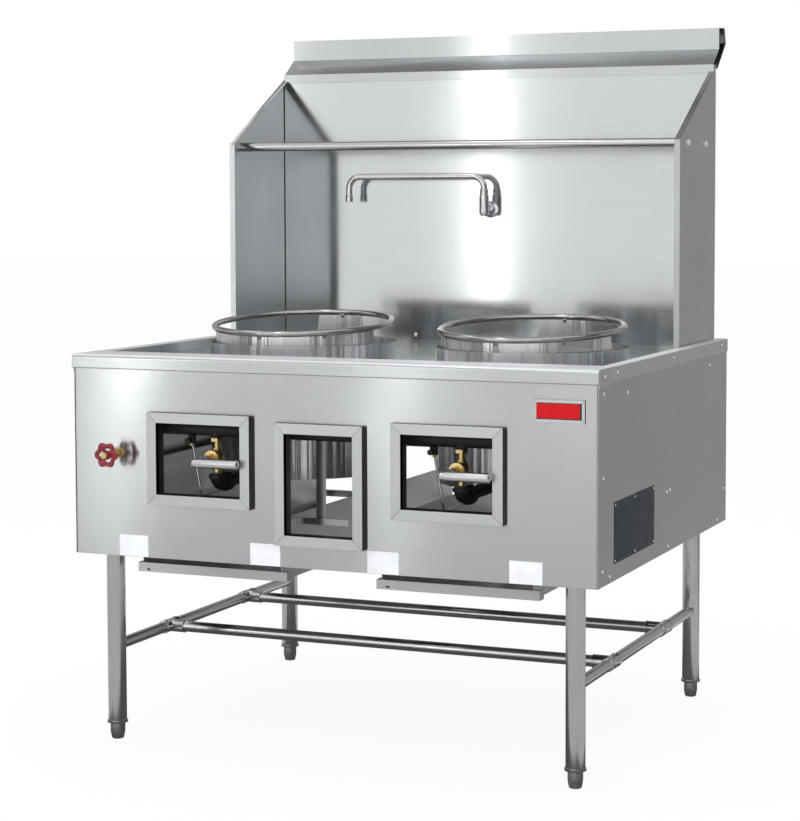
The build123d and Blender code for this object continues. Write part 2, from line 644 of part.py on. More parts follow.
with BuildPart() as back_panel:
    edge = SPLASH_X - SHEET - SEAM
    folded(
        Plane.XY.offset(DECK_TOP + SEAM),
        (
            (-edge, at(BACK_FACE_D + 10.2)), (-edge, at(BACK_FACE_D)), (edge, at(BACK_FACE_D)),
            (edge, at(BACK_FACE_D + 10.2)),
        ),
        2.5, SHEET, Side.LEFT, SPLASH_TOP_Z + 12 - DECK_TOP,
    )
    rod((0, at(BACK_FACE_D - 5), FAUCET_Z), (0, at(BACK_FACE_D + 5), FAUCET_Z), 9.5, Mode.SUBTRACT, 12)
save(back_panel.part, "back_panel")

# ---- top cap: one folded sheet, open at both ends ----
with BuildPart() as top_cap:
    profile = (
        (at(BACK_FACE_D - 1.6), CAP_TOP - 115), (at(BACK_FACE_D - 1.6), CAP_TOP - 93),
        (at(BACK_FACE_D + 52), CAP_TOP - 53), (at(BACK_FACE_D + 52), CAP_TOP - 2),
        (at(BACK_FACE_D + 87), CAP_TOP), (at(CAB_D + CAP_OVERHANG), CAP_TOP - 36),
        (at(BACK_FACE_D + 25), CAP_TOP - 102),
    )
    for bends, half in ((profile, SPLASH_X - 5), (profile[4:], SPLASH_X - 1)):
        with BuildSketch(side_plane(-half)):
            with BuildLine():
                Polyline(*bends)
                offset(amount=CAP_SHEET, side=Side.RIGHT, kind=Kind.INTERSECTION)
            make_face()
        extrude(amount=2 * half)
save(top_cap.part, "top_cap")

with BuildPart() as utensil_bar:
    edge = SPLASH_X - SHEET - SEAM
    rod((-edge, at(BAR_D), BAR_Z), (edge, at(BAR_D), BAR_Z), BAR_R)
save(utensil_bar.part, "utensil_bar")

# ---- faucet: wall flange, neck and swivel body with a spigot for the spout ----
with BuildPart() as faucet_base:
    rod((0, at(BACK_FACE_D - SEAM), FAUCET_Z), (0, at(BACK_FACE_D - 4), FAUCET_Z), 21, sides=24)
    rod((0, at(BACK_FACE_D - SEAM), FAUCET_Z), (0, at(WALL_PIPE_D), FAUCET_Z), 8.5, sides=12)
    rod((0, at(BACK_FACE_D - 3), FAUCET_Z), (0, at(SWIVEL_D), FAUCET_Z), 9.5, sides=12)
    rod((0, at(BACK_FACE_D - 3), FAUCET_Z), (0, at(BACK_FACE_D - 12), FAUCET_Z), 13, sides=12)
    rod((0, at(SWIVEL_D), NECK_LOW), (0, at(SWIVEL_D), SWIVEL_Z), 12, sides=16)
    rod((0, at(SWIVEL_D), NECK_LOW - 4), (0, at(SWIVEL_D), NECK_LOW), 9, sides=8)
    rod((0, at(SWIVEL_D), SWIVEL_Z), (0, at(SWIVEL_D), SWIVEL_Z + 13), SPOUT_BORE - RUN)
    block(-14, 12, at(WALL_PIPE_D - 12), at(WALL_PIPE_D + 8), FAUCET_Z - 11, FAUCET_Z + 11)
save(faucet_base.part, "faucet_base")

with BuildPart() as spout:
    pipe_run(
        (
            (0, at(SWIVEL_D), SWIVEL_Z + 15), (0, at(SWIVEL_D), SPOUT_Z),
            (-SPOUT_REACH, at(SWIVEL_D), SPOUT_Z), (-SPOUT_REACH, at(SWIVEL_D), SWIVEL_Z),
        ),
        30, SPOUT_R,
    )
    rod((0, at(SWIVEL_D), SWIVEL_Z + SEAM), (0, at(SWIVEL_D), SWIVEL_Z + 15.5), 10.5, sides=16)
    rod((0, at(SWIVEL_D), SWIVEL_Z - 1), (0, at(SWIVEL_D), SWIVEL_Z + 14), SPOUT_BORE, Mode.SUBTRACT)
    mouth = (-SPOUT_REACH, at(SWIVEL_D), SWIVEL_Z - 18)
    rod(mouth, (-SPOUT_REACH, at(SWIVEL_D), SWIVEL_Z), 9.5, sides=16)
    rod(mouth, (-SPOUT_REACH, at(SWIVEL_D), SWIVEL_Z + 10), 6.5, Mode.SUBTRACT, 8)
save(spout.part, "spout")

# ---- water valve behind the panel, its spindle, the hand wheel and the pipe to the faucet ----
with BuildPart() as water_valve:
    rod((WHEEL_X, at(-14), WHEEL_Z), (WHEEL_X, at(40), WHEEL_Z), 9.5, sides=12)
    hex_bar((WHEEL_X, at(3), WHEEL_Z), (WHEEL_X, at(12), WHEEL_Z), 28)
    hex_bar((WHEEL_X, at(-22), WHEEL_Z), (WHEEL_X, at(-12), WHEEL_Z), 17)
    rod((WHEEL_X, at(45), WHEEL_Z - 20), (WHEEL_X, at(45), WHEEL_Z + 20), 19, sides=12)
    rod((WHEEL_X, at(45), WHEEL_Z - 38), (WHEEL_X, at(45), WHEEL_Z + 36), 12.5, sides=12)
    rod((WHEEL_X, at(45), WHEEL_Z - 39), (WHEEL_X, at(45), WHEEL_Z - 20), 8, Mode.SUBTRACT)
    rod((WHEEL_X, at(-23), WHEEL_Z), (WHEEL_X, at(30), WHEEL_Z), SPINDLE_R + RUN, Mode.SUBTRACT)
save(water_valve.part, "water_valve")

with BuildPart() as spindle:
    rod((WHEEL_X, at(-WHEEL_REACH + 1.5), WHEEL_Z), (WHEEL_X, at(29), WHEEL_Z), SPINDLE_R)
    hex_bar((WHEEL_X, at(-WHEEL_REACH), WHEEL_Z), (WHEEL_X, at(-WHEEL_REACH + 6), WHEEL_Z), 13)
save(spindle.part, "wheel_spindle")

with BuildPart() as handwheel:
    with BuildSketch(front_plane(-WHEEL_REACH + 17)):
        with Locations((WHEEL_X, WHEEL_Z)):
            RegularPolygon(26, 24)
            with PolarLocations(22.3, 6):
                RegularPolygon(7.2, 8)
            RegularPolygon(15.5, 12, mode=Mode.SUBTRACT)
    extrude(amount=10)
    with BuildSketch(front_plane(-WHEEL_REACH + 15)):
        with Locations((WHEEL_X, WHEEL_Z)):
            RegularPolygon(17, 12)
            with PolarLocations(11.6, 3):
                RegularPolygon(3.3, 8, mode=Mode.SUBTRACT)
    extrude(amount=4)
    rod((WHEEL_X, at(-WHEEL_REACH + 20), WHEEL_Z), (WHEEL_X, at(-WHEEL_REACH + 6.3), WHEEL_Z), 8, sides=12)
    rod((WHEEL_X, at(-60), WHEEL_Z), (WHEEL_X, at(-30), WHEEL_Z), SPINDLE_R + SEAM, Mode.SUBTRACT)
save(handwheel.part, "handwheel")

with BuildPart() as water_pipe:
    rise = WHEEL_Z + 36 + SEAM
    pipe_run(
        (
            (WHEEL_X, at(45), rise), (WHEEL_X, at(45), WATER_Z), (-PIPE_SIDE_X, at(45), WATER_Z),
            (-PIPE_SIDE_X, at(WALL_PIPE_D), WATER_Z), (-PIPE_SIDE_X, at(WALL_PIPE_D), FAUCET_Z),
            (-14 - SEAM, at(WALL_PIPE_D), FAUCET_Z),
        ),
        22, 7.5, sides=8,
    )
save(water_pipe.part, "water_pipe")

# ---- plates and labels, all blank ----
with BuildPart() as name_bezel:
    with BuildSketch(front_plane(0)):
        with Locations((HALF_W - 82.2, NAME_Z - 0.3)):
            Rectangle(110, 47)
    extrude(amount=3)
    with BuildSketch(front_plane(-1.2)):
        with Locations((HALF_W - 84.3, NAME_Z)):
            Rectangle(92.6 + 2 * SEAM, 30.3 + 2 * SEAM)
    extrude(amount=4, mode=Mode.SUBTRACT)
save(name_bezel.part, "name_bezel")

with BuildPart() as name_field:
    with BuildSketch(front_plane(-1.2)):
        with Locations((HALF_W - 84.3, NAME_Z)):
            Rectangle(92.6, 30.3)
    extrude(amount=1.2)
save(name_field.part, "name_field")

with BuildPart() as labels:
    for x in (-461.7, -138.5, 137.5, 455.5):
        with BuildSketch(front_plane(0)):
            with Locations((x, 450.3)):
                Rectangle(71.8, 47)
        extrude(amount=0.4)
save(labels.part, "labels")

with BuildPart() as rating_plate:
    block(HALF_W, HALF_W + 0.8, at(106), at(389), 461, 589)
    for depth in (112, 247.5, 383):
        for z in (467, 583):
            rod((HALF_W + 0.4, at(depth), z), (HALF_W + 2, at(depth), z), 2.6, sides=6)
save(rating_plate.part, "rating_plate")

# ---- screw heads on the side panels and rims, bolt heads on the backsplash ----
with BuildPart() as panel_screws:
    for sx in (-1, 1):
        for depth, z in PANEL_SCREWS:
            rod((sx * HALF_W, at(depth), z), (sx * (HALF_W + 2.6), at(depth), z), 4.8, sides=6)
        for depth, z in RIM_SCREWS:
            rod((sx * RIM_OUT, at(depth), z), (sx * (RIM_OUT + 2.4), at(depth), z), 4.8, sides=6)
save(panel_screws.part, "panel_screws")

with BuildPart() as splash_bolts:
    for sx in (-1, 1):
        for depth in (748, 900):
            rod((sx * SPLASH_X, at(depth), BAR_Z), (sx * (SPLASH_X + 4.5), at(depth), BAR_Z), 7, sides=6)
    for x, z in ((-206, 860), (206, 860)):
        rod((x, at(BACK_FACE_D), z), (x, at(BACK_FACE_D - 3.5), z), 5.5, sides=6)
save(splash_bolts.part, "splash_bolts")

# ---- end frames: two tube legs welded to a side rail, with foot inserts and top plates ----
for side, sx in SIDES:
    x = sx * LEG_X
    with BuildPart() as end_frame:
        rod((x, at(LEG_FRONT_D), RAIL_Z), (x, at(LEG_REAR_D), RAIL_Z), RAIL_R)
        for depth in (LEG_FRONT_D, LEG_REAR_D):
            rod((x, at(depth), FOOT_TALL), (x, at(depth), LEG_TOP), LEG_R)
            rod((x, at(depth), FOOT_TALL), (x, at(depth), FOOT_TALL + 5), LEG_R + 2.5, sides=16)
            rod((x, at(depth), FOOT_TALL - 1), (x, at(depth), 58), LEG_BORE, Mode.SUBTRACT, 8)
            rod((x, at(depth), 50), (x, at(depth), 80), FOOT_STEM + RUN, Mode.SUBTRACT)
            rod((x, at(depth), 80), (x, at(depth), LEG_TOP - 3), LEG_BORE, Mode.SUBTRACT, 8)
            inner = sx * (LEG_X - 30)
            outer = sx * (INSIDE - BEAM_SHEET - 1)
            block(
                min(inner, outer), max(inner, outer), at(depth) - 30, at(depth) + 30,
                LEG_TOP, LEG_TOP + LEG_PLATE,
            )
    save(end_frame.part, "end_frame_" + side)

with BuildPart() as cross_rails:
    end = LEG_X - TEE_R - SEAM
    for depth in (CROSS_FRONT_D, CROSS_REAR_D):
        rod((-end, at(depth), RAIL_Z), (end, at(depth), RAIL_Z), RAIL_R)
save(cross_rails.part, "cross_rails")

with BuildPart() as rail_tees:
    for sx in (-1, 1):
        x = sx * LEG_X
        for depth in (CROSS_FRONT_D, CROSS_REAR_D):
            run = ((x, at(depth - 30), RAIL_Z), (x, at(depth + 30), RAIL_Z))
            stub = ((x, at(depth), RAIL_Z), (x - sx * 42, at(depth), RAIL_Z))
            rod(*run, TEE_R, sides=12)
            rod(*stub, TEE_R, sides=12)
            rod(*run, TEE_BORE, Mode.SUBTRACT, 12)
            rod(*stub, TEE_BORE, Mode.SUBTRACT, 12)
save(rail_tees.part, "rail_tees")

# ---- levelling feet: bullet, flats and a stem in the leg insert ----
for side, sx in SIDES:
    for end, depth in (("front", LEG_FRONT_D), ("rear", LEG_REAR_D)):
        with BuildPart() as foot:
            x = sx * LEG_X
            rod((x, at(depth), 15), (x, at(depth), FOOT_TALL), 16.5, sides=16)
            for radius, z in ((12.8, 0), (16.5, 15)):
                with BuildSketch(Plane((x, at(depth), z))):
                    RegularPolygon(radius, 16, rotation=11.25)
            loft(ruled=True)
            rod((x, at(depth), FOOT_TALL), (x, at(depth), 119), FOOT_STEM)
            for flat in (-1, 1):
                block(
                    x + flat * 15.5 - 1, x + flat * 15.5 + 1,
                    at(depth) - 20, at(depth) + 20, 20, 33, Mode.SUBTRACT,
                )
        save(foot.part, "foot_" + end + "_" + side)
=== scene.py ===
import math

import bmesh
import bpy
from mathutils import Matrix, Vector


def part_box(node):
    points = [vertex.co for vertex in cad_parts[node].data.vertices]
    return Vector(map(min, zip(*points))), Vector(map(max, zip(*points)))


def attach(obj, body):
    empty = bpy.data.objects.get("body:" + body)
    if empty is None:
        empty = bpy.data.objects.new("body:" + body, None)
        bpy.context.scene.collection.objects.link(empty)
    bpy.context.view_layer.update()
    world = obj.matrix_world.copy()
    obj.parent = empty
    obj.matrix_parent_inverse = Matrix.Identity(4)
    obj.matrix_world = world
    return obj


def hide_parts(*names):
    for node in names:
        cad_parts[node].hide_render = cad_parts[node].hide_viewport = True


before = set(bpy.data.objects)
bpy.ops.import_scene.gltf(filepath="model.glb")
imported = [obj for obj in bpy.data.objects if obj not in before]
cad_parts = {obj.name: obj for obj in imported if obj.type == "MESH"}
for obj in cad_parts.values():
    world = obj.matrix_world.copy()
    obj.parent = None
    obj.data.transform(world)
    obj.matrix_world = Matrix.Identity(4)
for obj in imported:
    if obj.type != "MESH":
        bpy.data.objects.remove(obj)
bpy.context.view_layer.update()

# ---- places and sizes, in metres, read from the frame where it has them ----
FRONT_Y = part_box("front_panel")[0].y    # face of the front panel
RIM_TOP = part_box("front_rim")[1].z
CHAMBER_X = (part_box("chamber_right")[0].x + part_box("chamber_right")[1].x) / 2
CHAMBER_Y = (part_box("chamber_right")[0].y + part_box("chamber_right")[1].y) / 2
CHAMBER_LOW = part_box("chamber_right")[0].z
CHAMBER_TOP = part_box("chamber_right")[1].z
CHAMBER_R = 0.2188
SHEET = 0.0015
COLLAR_R = 0.206
COLLAR_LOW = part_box("collar_right")[0].z
VENT_Z = RIM_TOP - 0.0075
RING_R = 0.209
RING_BAR = 0.007
RING_Z = RIM_TOP + 0.0475
RING_TILT = math.radians(3.9)
PIPE_Y = FRONT_Y + 0.065
PIPE_Z = RIM_TOP - 0.1605
PIPE_R = 0.0167
VALVE_Z = PIPE_Z - 0.063
BURNER_Z = CHAMBER_LOW + 0.016
SUPPLY_TOP = BURNER_Z + 0.0205
WHEEL_X = (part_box("handwheel")[0].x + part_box("handwheel")[1].x) / 2
WHEEL_Z = (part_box("handwheel")[0].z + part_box("handwheel")[1].z) / 2
WHEEL_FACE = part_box("wheel_spindle")[0].y
SWIVEL_Y = FRONT_Y + 0.9373
SWIVEL_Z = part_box("spout")[0].z + 0.018
SPOUT_Z = SWIVEL_Z + 0.0456
SPOUT_REACH = 0.371
BACK_Y = FRONT_Y + 0.9823
FAUCET_Z = SWIVEL_Z - 0.037
SIDES = (("left", -1), ("right", 1))


# =====================================================================
# shader node helpers and the groups that several finishes share
# =====================================================================

def group_tree(name, inputs, outputs):
    """A shader node group with named inputs (name, kind, value) and outputs (name, kind)."""
    tree = bpy.data.node_groups.new(name, "ShaderNodeTree")
    for label, kind, value in inputs:
        socket = tree.interface.new_socket(label, in_out="INPUT", socket_type=kind)
        socket.default_value = value
    for label, kind in outputs:
        tree.interface.new_socket(label, in_out="OUTPUT", socket_type=kind)
    return tree, tree.nodes.new("NodeGroupInput"), tree.nodes.new("NodeGroupOutput")


def noise(tree, vector, scale, detail=3.0, roughness=0.55):
    made = tree.nodes.new("ShaderNodeTexNoise")
    made.inputs["Scale"].default_value = scale
    made.inputs["Detail"].default_value = detail
    made.inputs["Roughness"].default_value = roughness
    tree.links.new(vector, made.inputs["Vector"])
    return made.outputs["Fac"]


def ramp(tree, value, low, high, to_low=0.0, to_high=1.0):
    """Maps low..high of a value to another range, clamped."""
    made = tree.nodes.new("ShaderNodeMapRange")
    tree.links.new(value, made.inputs["Value"])
    for label, number in (
        ("From Min", low), ("From Max", high), ("To Min", to_low), ("To Max", to_high),
    ):
        made.inputs[label].default_value = number
    return made.outputs["Result"]


def maths(tree, operation, a, b):
    made = tree.nodes.new("ShaderNodeMath")
    made.operation = operation
    for socket, value in zip(made.inputs, (a, b)):
        if isinstance(value, (int, float)):
            socket.default_value = value
        else:
            tree.links.new(value, socket)
    return made.outputs[0]


def stretched(tree, group_input):
    """Object coordinates multiplied by the group's Stretch input."""
    place = tree.nodes.new("ShaderNodeTexCoord")
    times = tree.nodes.new("ShaderNodeVectorMath")
    times.operation = "MULTIPLY"
    tree.links.new(place.outputs["Object"], times.inputs[0])
    tree.links.new(group_input.outputs["Stretch"], times.inputs[1])
    return times.outputs[0]


def brushed_lines_group():
    """Fine parallel polishing lines: short hair lines over longer, broader bands."""
    tree, into, out = group_tree(
        "brushed_lines",
        (("Stretch", "NodeSocketVector", (1.0, 1.0, 1.0)),),
        (("Lines", "NodeSocketFloat"), ("Bands", "NodeSocketFloat")),
    )
    vector = stretched(tree, into)
    tree.links.new(ramp(tree, noise(tree, vector, 9.0, 2.0), 0.3, 0.7), out.inputs["Lines"])
    tree.links.new(ramp(tree, noise(tree, vector, 1.3, 3.0), 0.3, 0.7), out.inputs["Bands"])
    return tree


def blotches_group():
    """Cloudy handling marks and the slight waves of rolled sheet."""
    tree, into, out = group_tree(
        "blotches",
        (("Stretch", "NodeSocketVector", (1.0, 1.0, 1.0)),),
        (("Clouds", "NodeSocketFloat"), ("Waves", "NodeSocketFloat"), ("Specks", "NodeSocketFloat")),
    )
    vector = stretched(tree, into)
    tree.links.new(ramp(tree, noise(tree, vector, 5.0, 5.0, 0.62), 0.32, 0.68), out.inputs["Clouds"])
    tree.links.new(noise(tree, vector, 2.2, 1.0), out.inputs["Waves"])
    tree.links.new(ramp(tree, noise(tree, vector, 160.0, 2.0), 0.62, 0.75), out.inputs["Specks"])
    return tree


def edge_wear_group():
    """Finds the outer edges of sheet and gives them as a mask, with a rounded normal."""
    tree, into, out = group_tree(
        "edge_wear",
        (("Radius", "NodeSocketFloat", 0.001),),
        (("Mask", "NodeSocketFloat"), ("Normal", "NodeSocketVector")),
    )
    bevel = tree.nodes.new("ShaderNodeBevel")
    bevel.samples = 4
    tree.links.new(into.outputs["Radius"], bevel.inputs["Radius"])
    shape = tree.nodes.new("ShaderNodeNewGeometry")
    dot = tree.nodes.new("ShaderNodeVectorMath")
    dot.operation = "DOT_PRODUCT"
    tree.links.new(bevel.outputs[0], dot.inputs[0])
    tree.links.new(shape.outputs["Normal"], dot.inputs[1])
    tree.links.new(ramp(tree, dot.outputs["Value"], 0.985, 0.8), out.inputs["Mask"])
    tree.links.new(bevel.outputs[0], out.inputs["Normal"])
    return tree


def grime_group():
    """Soot and dust that gather in patches, more towards the lower end of a height range."""
    tree, into, out = group_tree(
        "grime",
        (
            ("Stretch", "NodeSocketVector", (1.0, 1.0, 1.0)),
            ("Low", "NodeSocketFloat", 0.0),
            ("High", "NodeSocketFloat", 1.0),
        ),
        (("Mask", "NodeSocketFloat"),),
    )
    vector = stretched(tree, into)
    place = tree.nodes.new("ShaderNodeTexCoord")
    split = tree.nodes.new("ShaderNodeSeparateXYZ")
    tree.links.new(place.outputs["Object"], split.inputs[0])
    height = tree.nodes.new("ShaderNodeMapRange")
    tree.links.new(split.outputs["Z"], height.inputs["Value"])
    tree.links.new(into.outputs["High"], height.inputs["From Min"])
    tree.links.new(into.outputs["Low"], height.inputs["From Max"])
    patches = ramp(tree, noise(tree, vector, 14.0, 5.0, 0.65), 0.4, 0.7)
    tree.links.new(maths(tree, "MULTIPLY", patches, height.outputs["Result"]), out.inputs["Mask"])
    return tree


BRUSHED = brushed_lines_group()
BLOTCHES = blotches_group()
EDGE_WEAR = edge_wear_group()
GRIME = grime_group()

ALONG_X = (1.6, 90.0, 90.0)     # lines that run from side to side
ALONG_Y = (90.0, 1.6, 90.0)     # lines that run front to back
ROUND_Z = (2.5, 2.5, 90.0)      # lines that run round an upright cylinder
ALONG_Z = (90.0, 90.0, 1.6)     # lines that run up and down


class Finish:
    """One material: a Principled shader with helpers that add detail to it."""

    def __init__(self, name, colour, roughness, metallic=0.0):
        self.material = bpy.data.materials.new(name)
        self.material.use_nodes = True
        self.tree = self.material.node_tree
        self.shader = self.tree.nodes["Principled BSDF"]
        self.shader.inputs["Base Color"].default_value = (*colour, 1.0)
        self.shader.inputs["Roughness"].default_value = roughness
        self.shader.inputs["Metallic"].default_value = metallic
        self.colour = None
        self.base = colour
        self.height = None

    def group(self, tree, **values):
        made = self.tree.nodes.new("ShaderNodeGroup")
        made.node_tree = tree
        for label, value in values.items():
            made.inputs[label].default_value = value
        return made

    def tint(self, mask, colour, strength=1.0):
        """Mixes another colour in where the mask is high."""
        mix = self.tree.nodes.new("ShaderNodeMix")
        mix.data_type = "RGBA"
        factor = maths(self.tree, "MULTIPLY", mask, strength)
        self.tree.links.new(factor, mix.inputs["Factor"])
        if self.colour is None:
            mix.inputs["A"].default_value = (*self.base, 1.0)
        else:
            self.tree.links.new(self.colour, mix.inputs["A"])
        mix.inputs["B"].default_value = (*colour, 1.0)
        self.colour = mix.outputs["Result"]
        self.tree.links.new(self.colour, self.shader.inputs["Base Color"])

    def roughness(self, base, *parts):
        """Roughness as a base value plus (mask, amount) parts."""
        total = base
        for mask, amount in parts:
            total = maths(self.tree, "ADD", maths(self.tree, "MULTIPLY", mask, amount), total)
        self.tree.links.new(total, self.shader.inputs["Roughness"])

    def bump(self, height, distance, strength=1.0, normal=None):
        made = self.tree.nodes.new("ShaderNodeBump")
        made.inputs["Strength"].default_value = strength
        made.inputs["Distance"].default_value = distance
        self.tree.links.new(height, made.inputs["Height"])
        if self.height is not None:
            self.tree.links.new(self.height, made.inputs["Normal"])
        elif normal is not None:
            self.tree.links.new(normal, made.inputs["Normal"])
        self.height = made.outputs["Normal"]
        self.tree.links.new(self.height, self.shader.inputs["Normal"])

    def anisotropy(self, amount, turn):
        self.shader.inputs["Anisotropic"].default_value = amount
        self.shader.inputs["Anisotropic Rotation"].default_value = turn
        tangent = self.tree.nodes.new("ShaderNodeTangent")
        tangent.direction_type = "RADIAL"
        tangent.axis = "Z"
        self.tree.links.new(tangent.outputs[0], self.shader.inputs["Tangent"])


def darker(colour, share):
    return tuple(part * share for part in colour)


def sheet_steel(name, colour, roughness, lines, waves=0.002, stain=0.2, spread=1.0, edge=0.0007, top=False):
    """Brushed stainless sheet: polishing lines, cloudy patches, gentle waves, bright edges; with top, upward
    faces get a painted highlight.
    """
    made = Finish(name, colour, roughness, 1.0)
    brushed = made.group(BRUSHED, Stretch=lines)
    cloudy = made.group(BLOTCHES, Stretch=(1.0, 1.0, 1.0))
    worn = made.group(EDGE_WEAR, Radius=edge)
    made.tint(brushed.outputs["Lines"], darker(colour, 0.88), 0.5)
    made.tint(brushed.outputs["Bands"], darker(colour, 0.92), 0.4)
    made.tint(cloudy.outputs["Clouds"], darker(colour, 0.84), stain)
    made.tint(cloudy.outputs["Specks"], darker(colour, 0.7), 0.15)
    made.tint(worn.outputs["Mask"], (0.86, 0.87, 0.88), 0.5)
    # With top, upward faces are mixed to a light colour and made less metallic: a painted highlight for light
    # falling on the tops.
    if top:
        shape = made.tree.nodes.new("ShaderNodeNewGeometry")
        split = made.tree.nodes.new("ShaderNodeSeparateXYZ")
        made.tree.links.new(shape.outputs["Normal"], split.inputs[0])
        painted_top_highlight = ramp(made.tree, split.outputs["Z"], 0.5, 0.8)
        made.tint(painted_top_highlight, (0.84, 0.85, 0.86))
        made.tree.links.new(ramp(made.tree, painted_top_highlight, 0.0, 1.0, 1.0, 0.45), made.shader.inputs["Metallic"])
    made.roughness(
        roughness - 0.03, (cloudy.outputs["Clouds"], 0.05), (worn.outputs["Mask"], -0.08),
    )
    made.bump(cloudy.outputs["Waves"], waves, normal=worn.outputs["Normal"])
    made.bump(brushed.outputs["Lines"], 0.000001)
    made.anisotropy(spread, 0.25)
    return made.material


def rolled_steel(name, colour, roughness):
    """Sheet rolled to a drum: narrow upright flats that break the reflection into stripes, with the stripes
    also painted darker into the colour as painted shade.
    """
    made = Finish(name, colour, roughness, 1.0)
    brushed = made.group(BRUSHED, Stretch=ROUND_Z)
    flats = made.group(BRUSHED, Stretch=(3.4, 3.4, 0.01))
    grime = made.group(GRIME, Stretch=(1.0, 1.0, 1.0), Low=CHAMBER_LOW, High=CHAMBER_TOP)
    worn = made.group(EDGE_WEAR, Radius=0.0007)
    made.tint(brushed.outputs["Lines"], darker(colour, 0.85), 0.2)
    # Painted shade: the flats' stripe pattern also darkens the colour, besides bending the normal.
    made.tint(flats.outputs["Lines"], darker(colour, 0.65), 0.4)
    made.tint(grime.outputs["Mask"], (0.2, 0.17, 0.14), 0.2)
    made.tint(worn.outputs["Mask"], (0.8, 0.8, 0.8), 0.4)
    made.roughness(roughness, (flats.outputs["Bands"], 0.08), (grime.outputs["Mask"], 0.1))
    made.bump(flats.outputs["Lines"], 0.0034, normal=worn.outputs["Normal"])
    made.bump(flats.outputs["Bands"], 0.006)
    made.bump(brushed.outputs["Lines"], 0.000002)
    made.anisotropy(0.5, 0.25)
    made.shader.inputs["Metallic"].default_value = 0.85
    return made.material


def tube_steel(name, colour, roughness, lines, stain=(0.25, 0.22, 0.19)):
    """Polished round stock with fine drawing lines and a few dull patches."""
    made = Finish(name, colour, roughness, 1.0)
    brushed = made.group(BRUSHED, Stretch=lines)
    cloudy = made.group(BLOTCHES, Stretch=(3.0, 3.0, 3.0))
    made.tint(brushed.outputs["Lines"], darker(colour, 0.85), 0.4)
    made.tint(cloudy.outputs["Clouds"], stain, 0.12)
    made.roughness(roughness, (brushed.outputs["Lines"], 0.04), (cloudy.outputs["Clouds"], 0.06))
    made.bump(brushed.outputs["Lines"], 0.000002)
    return made.material


def cast_or_coated(name, colour, roughness, metallic, tooth, dust, dust_share, speck=0.5):
    """Rough castings and coated steel: fine tooth, dusty patches and rubbed edges."""
    made = Finish(name, colour, roughness, metallic)
    cloudy = made.group(BLOTCHES, Stretch=(2.0, 2.0, 2.0))
    grime = made.group(GRIME, Stretch=(3.0, 3.0, 3.0), Low=0.0, High=3.0)
    worn = made.group(EDGE_WEAR, Radius=0.0008)
    made.tint(cloudy.outputs["Clouds"], darker(colour, 0.6), 0.6)
    made.tint(grime.outputs["Mask"], dust, dust_share)
    made.tint(cloudy.outputs["Specks"], dust, speck * dust_share)
    made.tint(worn.outputs["Mask"], tuple(min(1.0, part * 2.2 + 0.05) for part in colour), 0.5)
    made.roughness(roughness, (cloudy.outputs["Clouds"], 0.12), (grime.outputs["Mask"], 0.2))
    made.bump(cloudy.outputs["Specks"], tooth, normal=worn.outputs["Normal"])
    return made.material


def enamel(name, colour, roughness, coat, dust_share=0.12):
    """Glossy paint with faint orange peel, dust and rubbed edges."""
    made = Finish(name, colour, roughness)
    cloudy = made.group(BLOTCHES, Stretch=(6.0, 6.0, 6.0))
    worn = made.group(EDGE_WEAR, Radius=0.0006)
    made.tint(cloudy.outputs["Clouds"], darker(colour, 0.72), 0.5)
    made.tint(cloudy.outputs["Specks"], (0.5, 0.45, 0.42), dust_share)
    made.tint(worn.outputs["Mask"], tuple(min(1.0, part * 1.5 + 0.04) for part in colour), 0.6)
    made.roughness(roughness, (cloudy.outputs["Clouds"], 0.15))
    made.bump(cloudy.outputs["Waves"], 0.0006, normal=worn.outputs["Normal"])
    made.shader.inputs["Coat Weight"].default_value = coat
    made.shader.inputs["Coat Roughness"].default_value = 0.15
    return made.material


PANEL = (0.595, 0.612, 0.622)
RIM = (0.67, 0.69, 0.70)

panel_steel = sheet_steel("front_panel_steel", darker(PANEL, 0.97), 0.185, ALONG_X)
side_steel = sheet_steel("side_panel_steel", darker(PANEL, 0.95), 0.24, ALONG_Y, 0.006, 0.35)
back_steel = sheet_steel("backsplash_steel", PANEL, 0.14, ALONG_X, 0.001, spread=0.75)
deck_steel = sheet_steel("deck_steel", darker(PANEL, 0.85), 0.2, ALONG_X, 0.004, 0.4, 0.0)
# The rims take the painted top highlight on their upward faces.
rim_steel = sheet_steel("rim_steel", darker(RIM, 0.95), 0.24, ALONG_X, 0.002, 0.15, top=True)
side_rim_steel = sheet_steel("side_rim_steel", RIM, 0.24, ALONG_Y, 0.002, 0.15, top=True)
frame_steel = sheet_steel("window_frame_steel", darker(RIM, 0.95), 0.36, ALONG_X, 0.0, 0.15, 0.3)
upright_steel = sheet_steel("upright_bar_steel", darker(RIM, 0.92), 0.36, ALONG_Z, 0.0, 0.15, 0.3)
cap_steel = sheet_steel("cap_steel", darker(RIM, 0.88), 0.2, ALONG_X, 0.002, 0.15)
tray_steel = sheet_steel("tray_steel", darker(PANEL, 0.9), 0.3, ALONG_X, 0.003, 0.4)
drum_steel = rolled_steel("drum_steel", (0.82, 0.83, 0.84), 0.15)
leg_steel = tube_steel("leg_steel", (0.66, 0.66, 0.65), 0.13, ALONG_Z)
rail_steel = tube_steel("rail_steel", (0.64, 0.64, 0.64), 0.11, ALONG_X)
side_rail_steel = tube_steel("side_rail_steel", (0.62, 0.62, 0.62), 0.13, ALONG_Y)
ring_steel = tube_steel("ring_steel", (0.56, 0.55, 0.53), 0.09, ROUND_Z, (0.36, 0.34, 0.3))
grip_steel = tube_steel("grip_steel", (0.72, 0.73, 0.74), 0.24, ALONG_X, (0.4, 0.4, 0.4))
chrome = tube_steel("chrome_plate", (0.72, 0.73, 0.75), 0.09, ALONG_Z, (0.5, 0.5, 0.5))
screw_steel = tube_steel("screw_steel", (0.85, 0.86, 0.87), 0.2, ALONG_X)
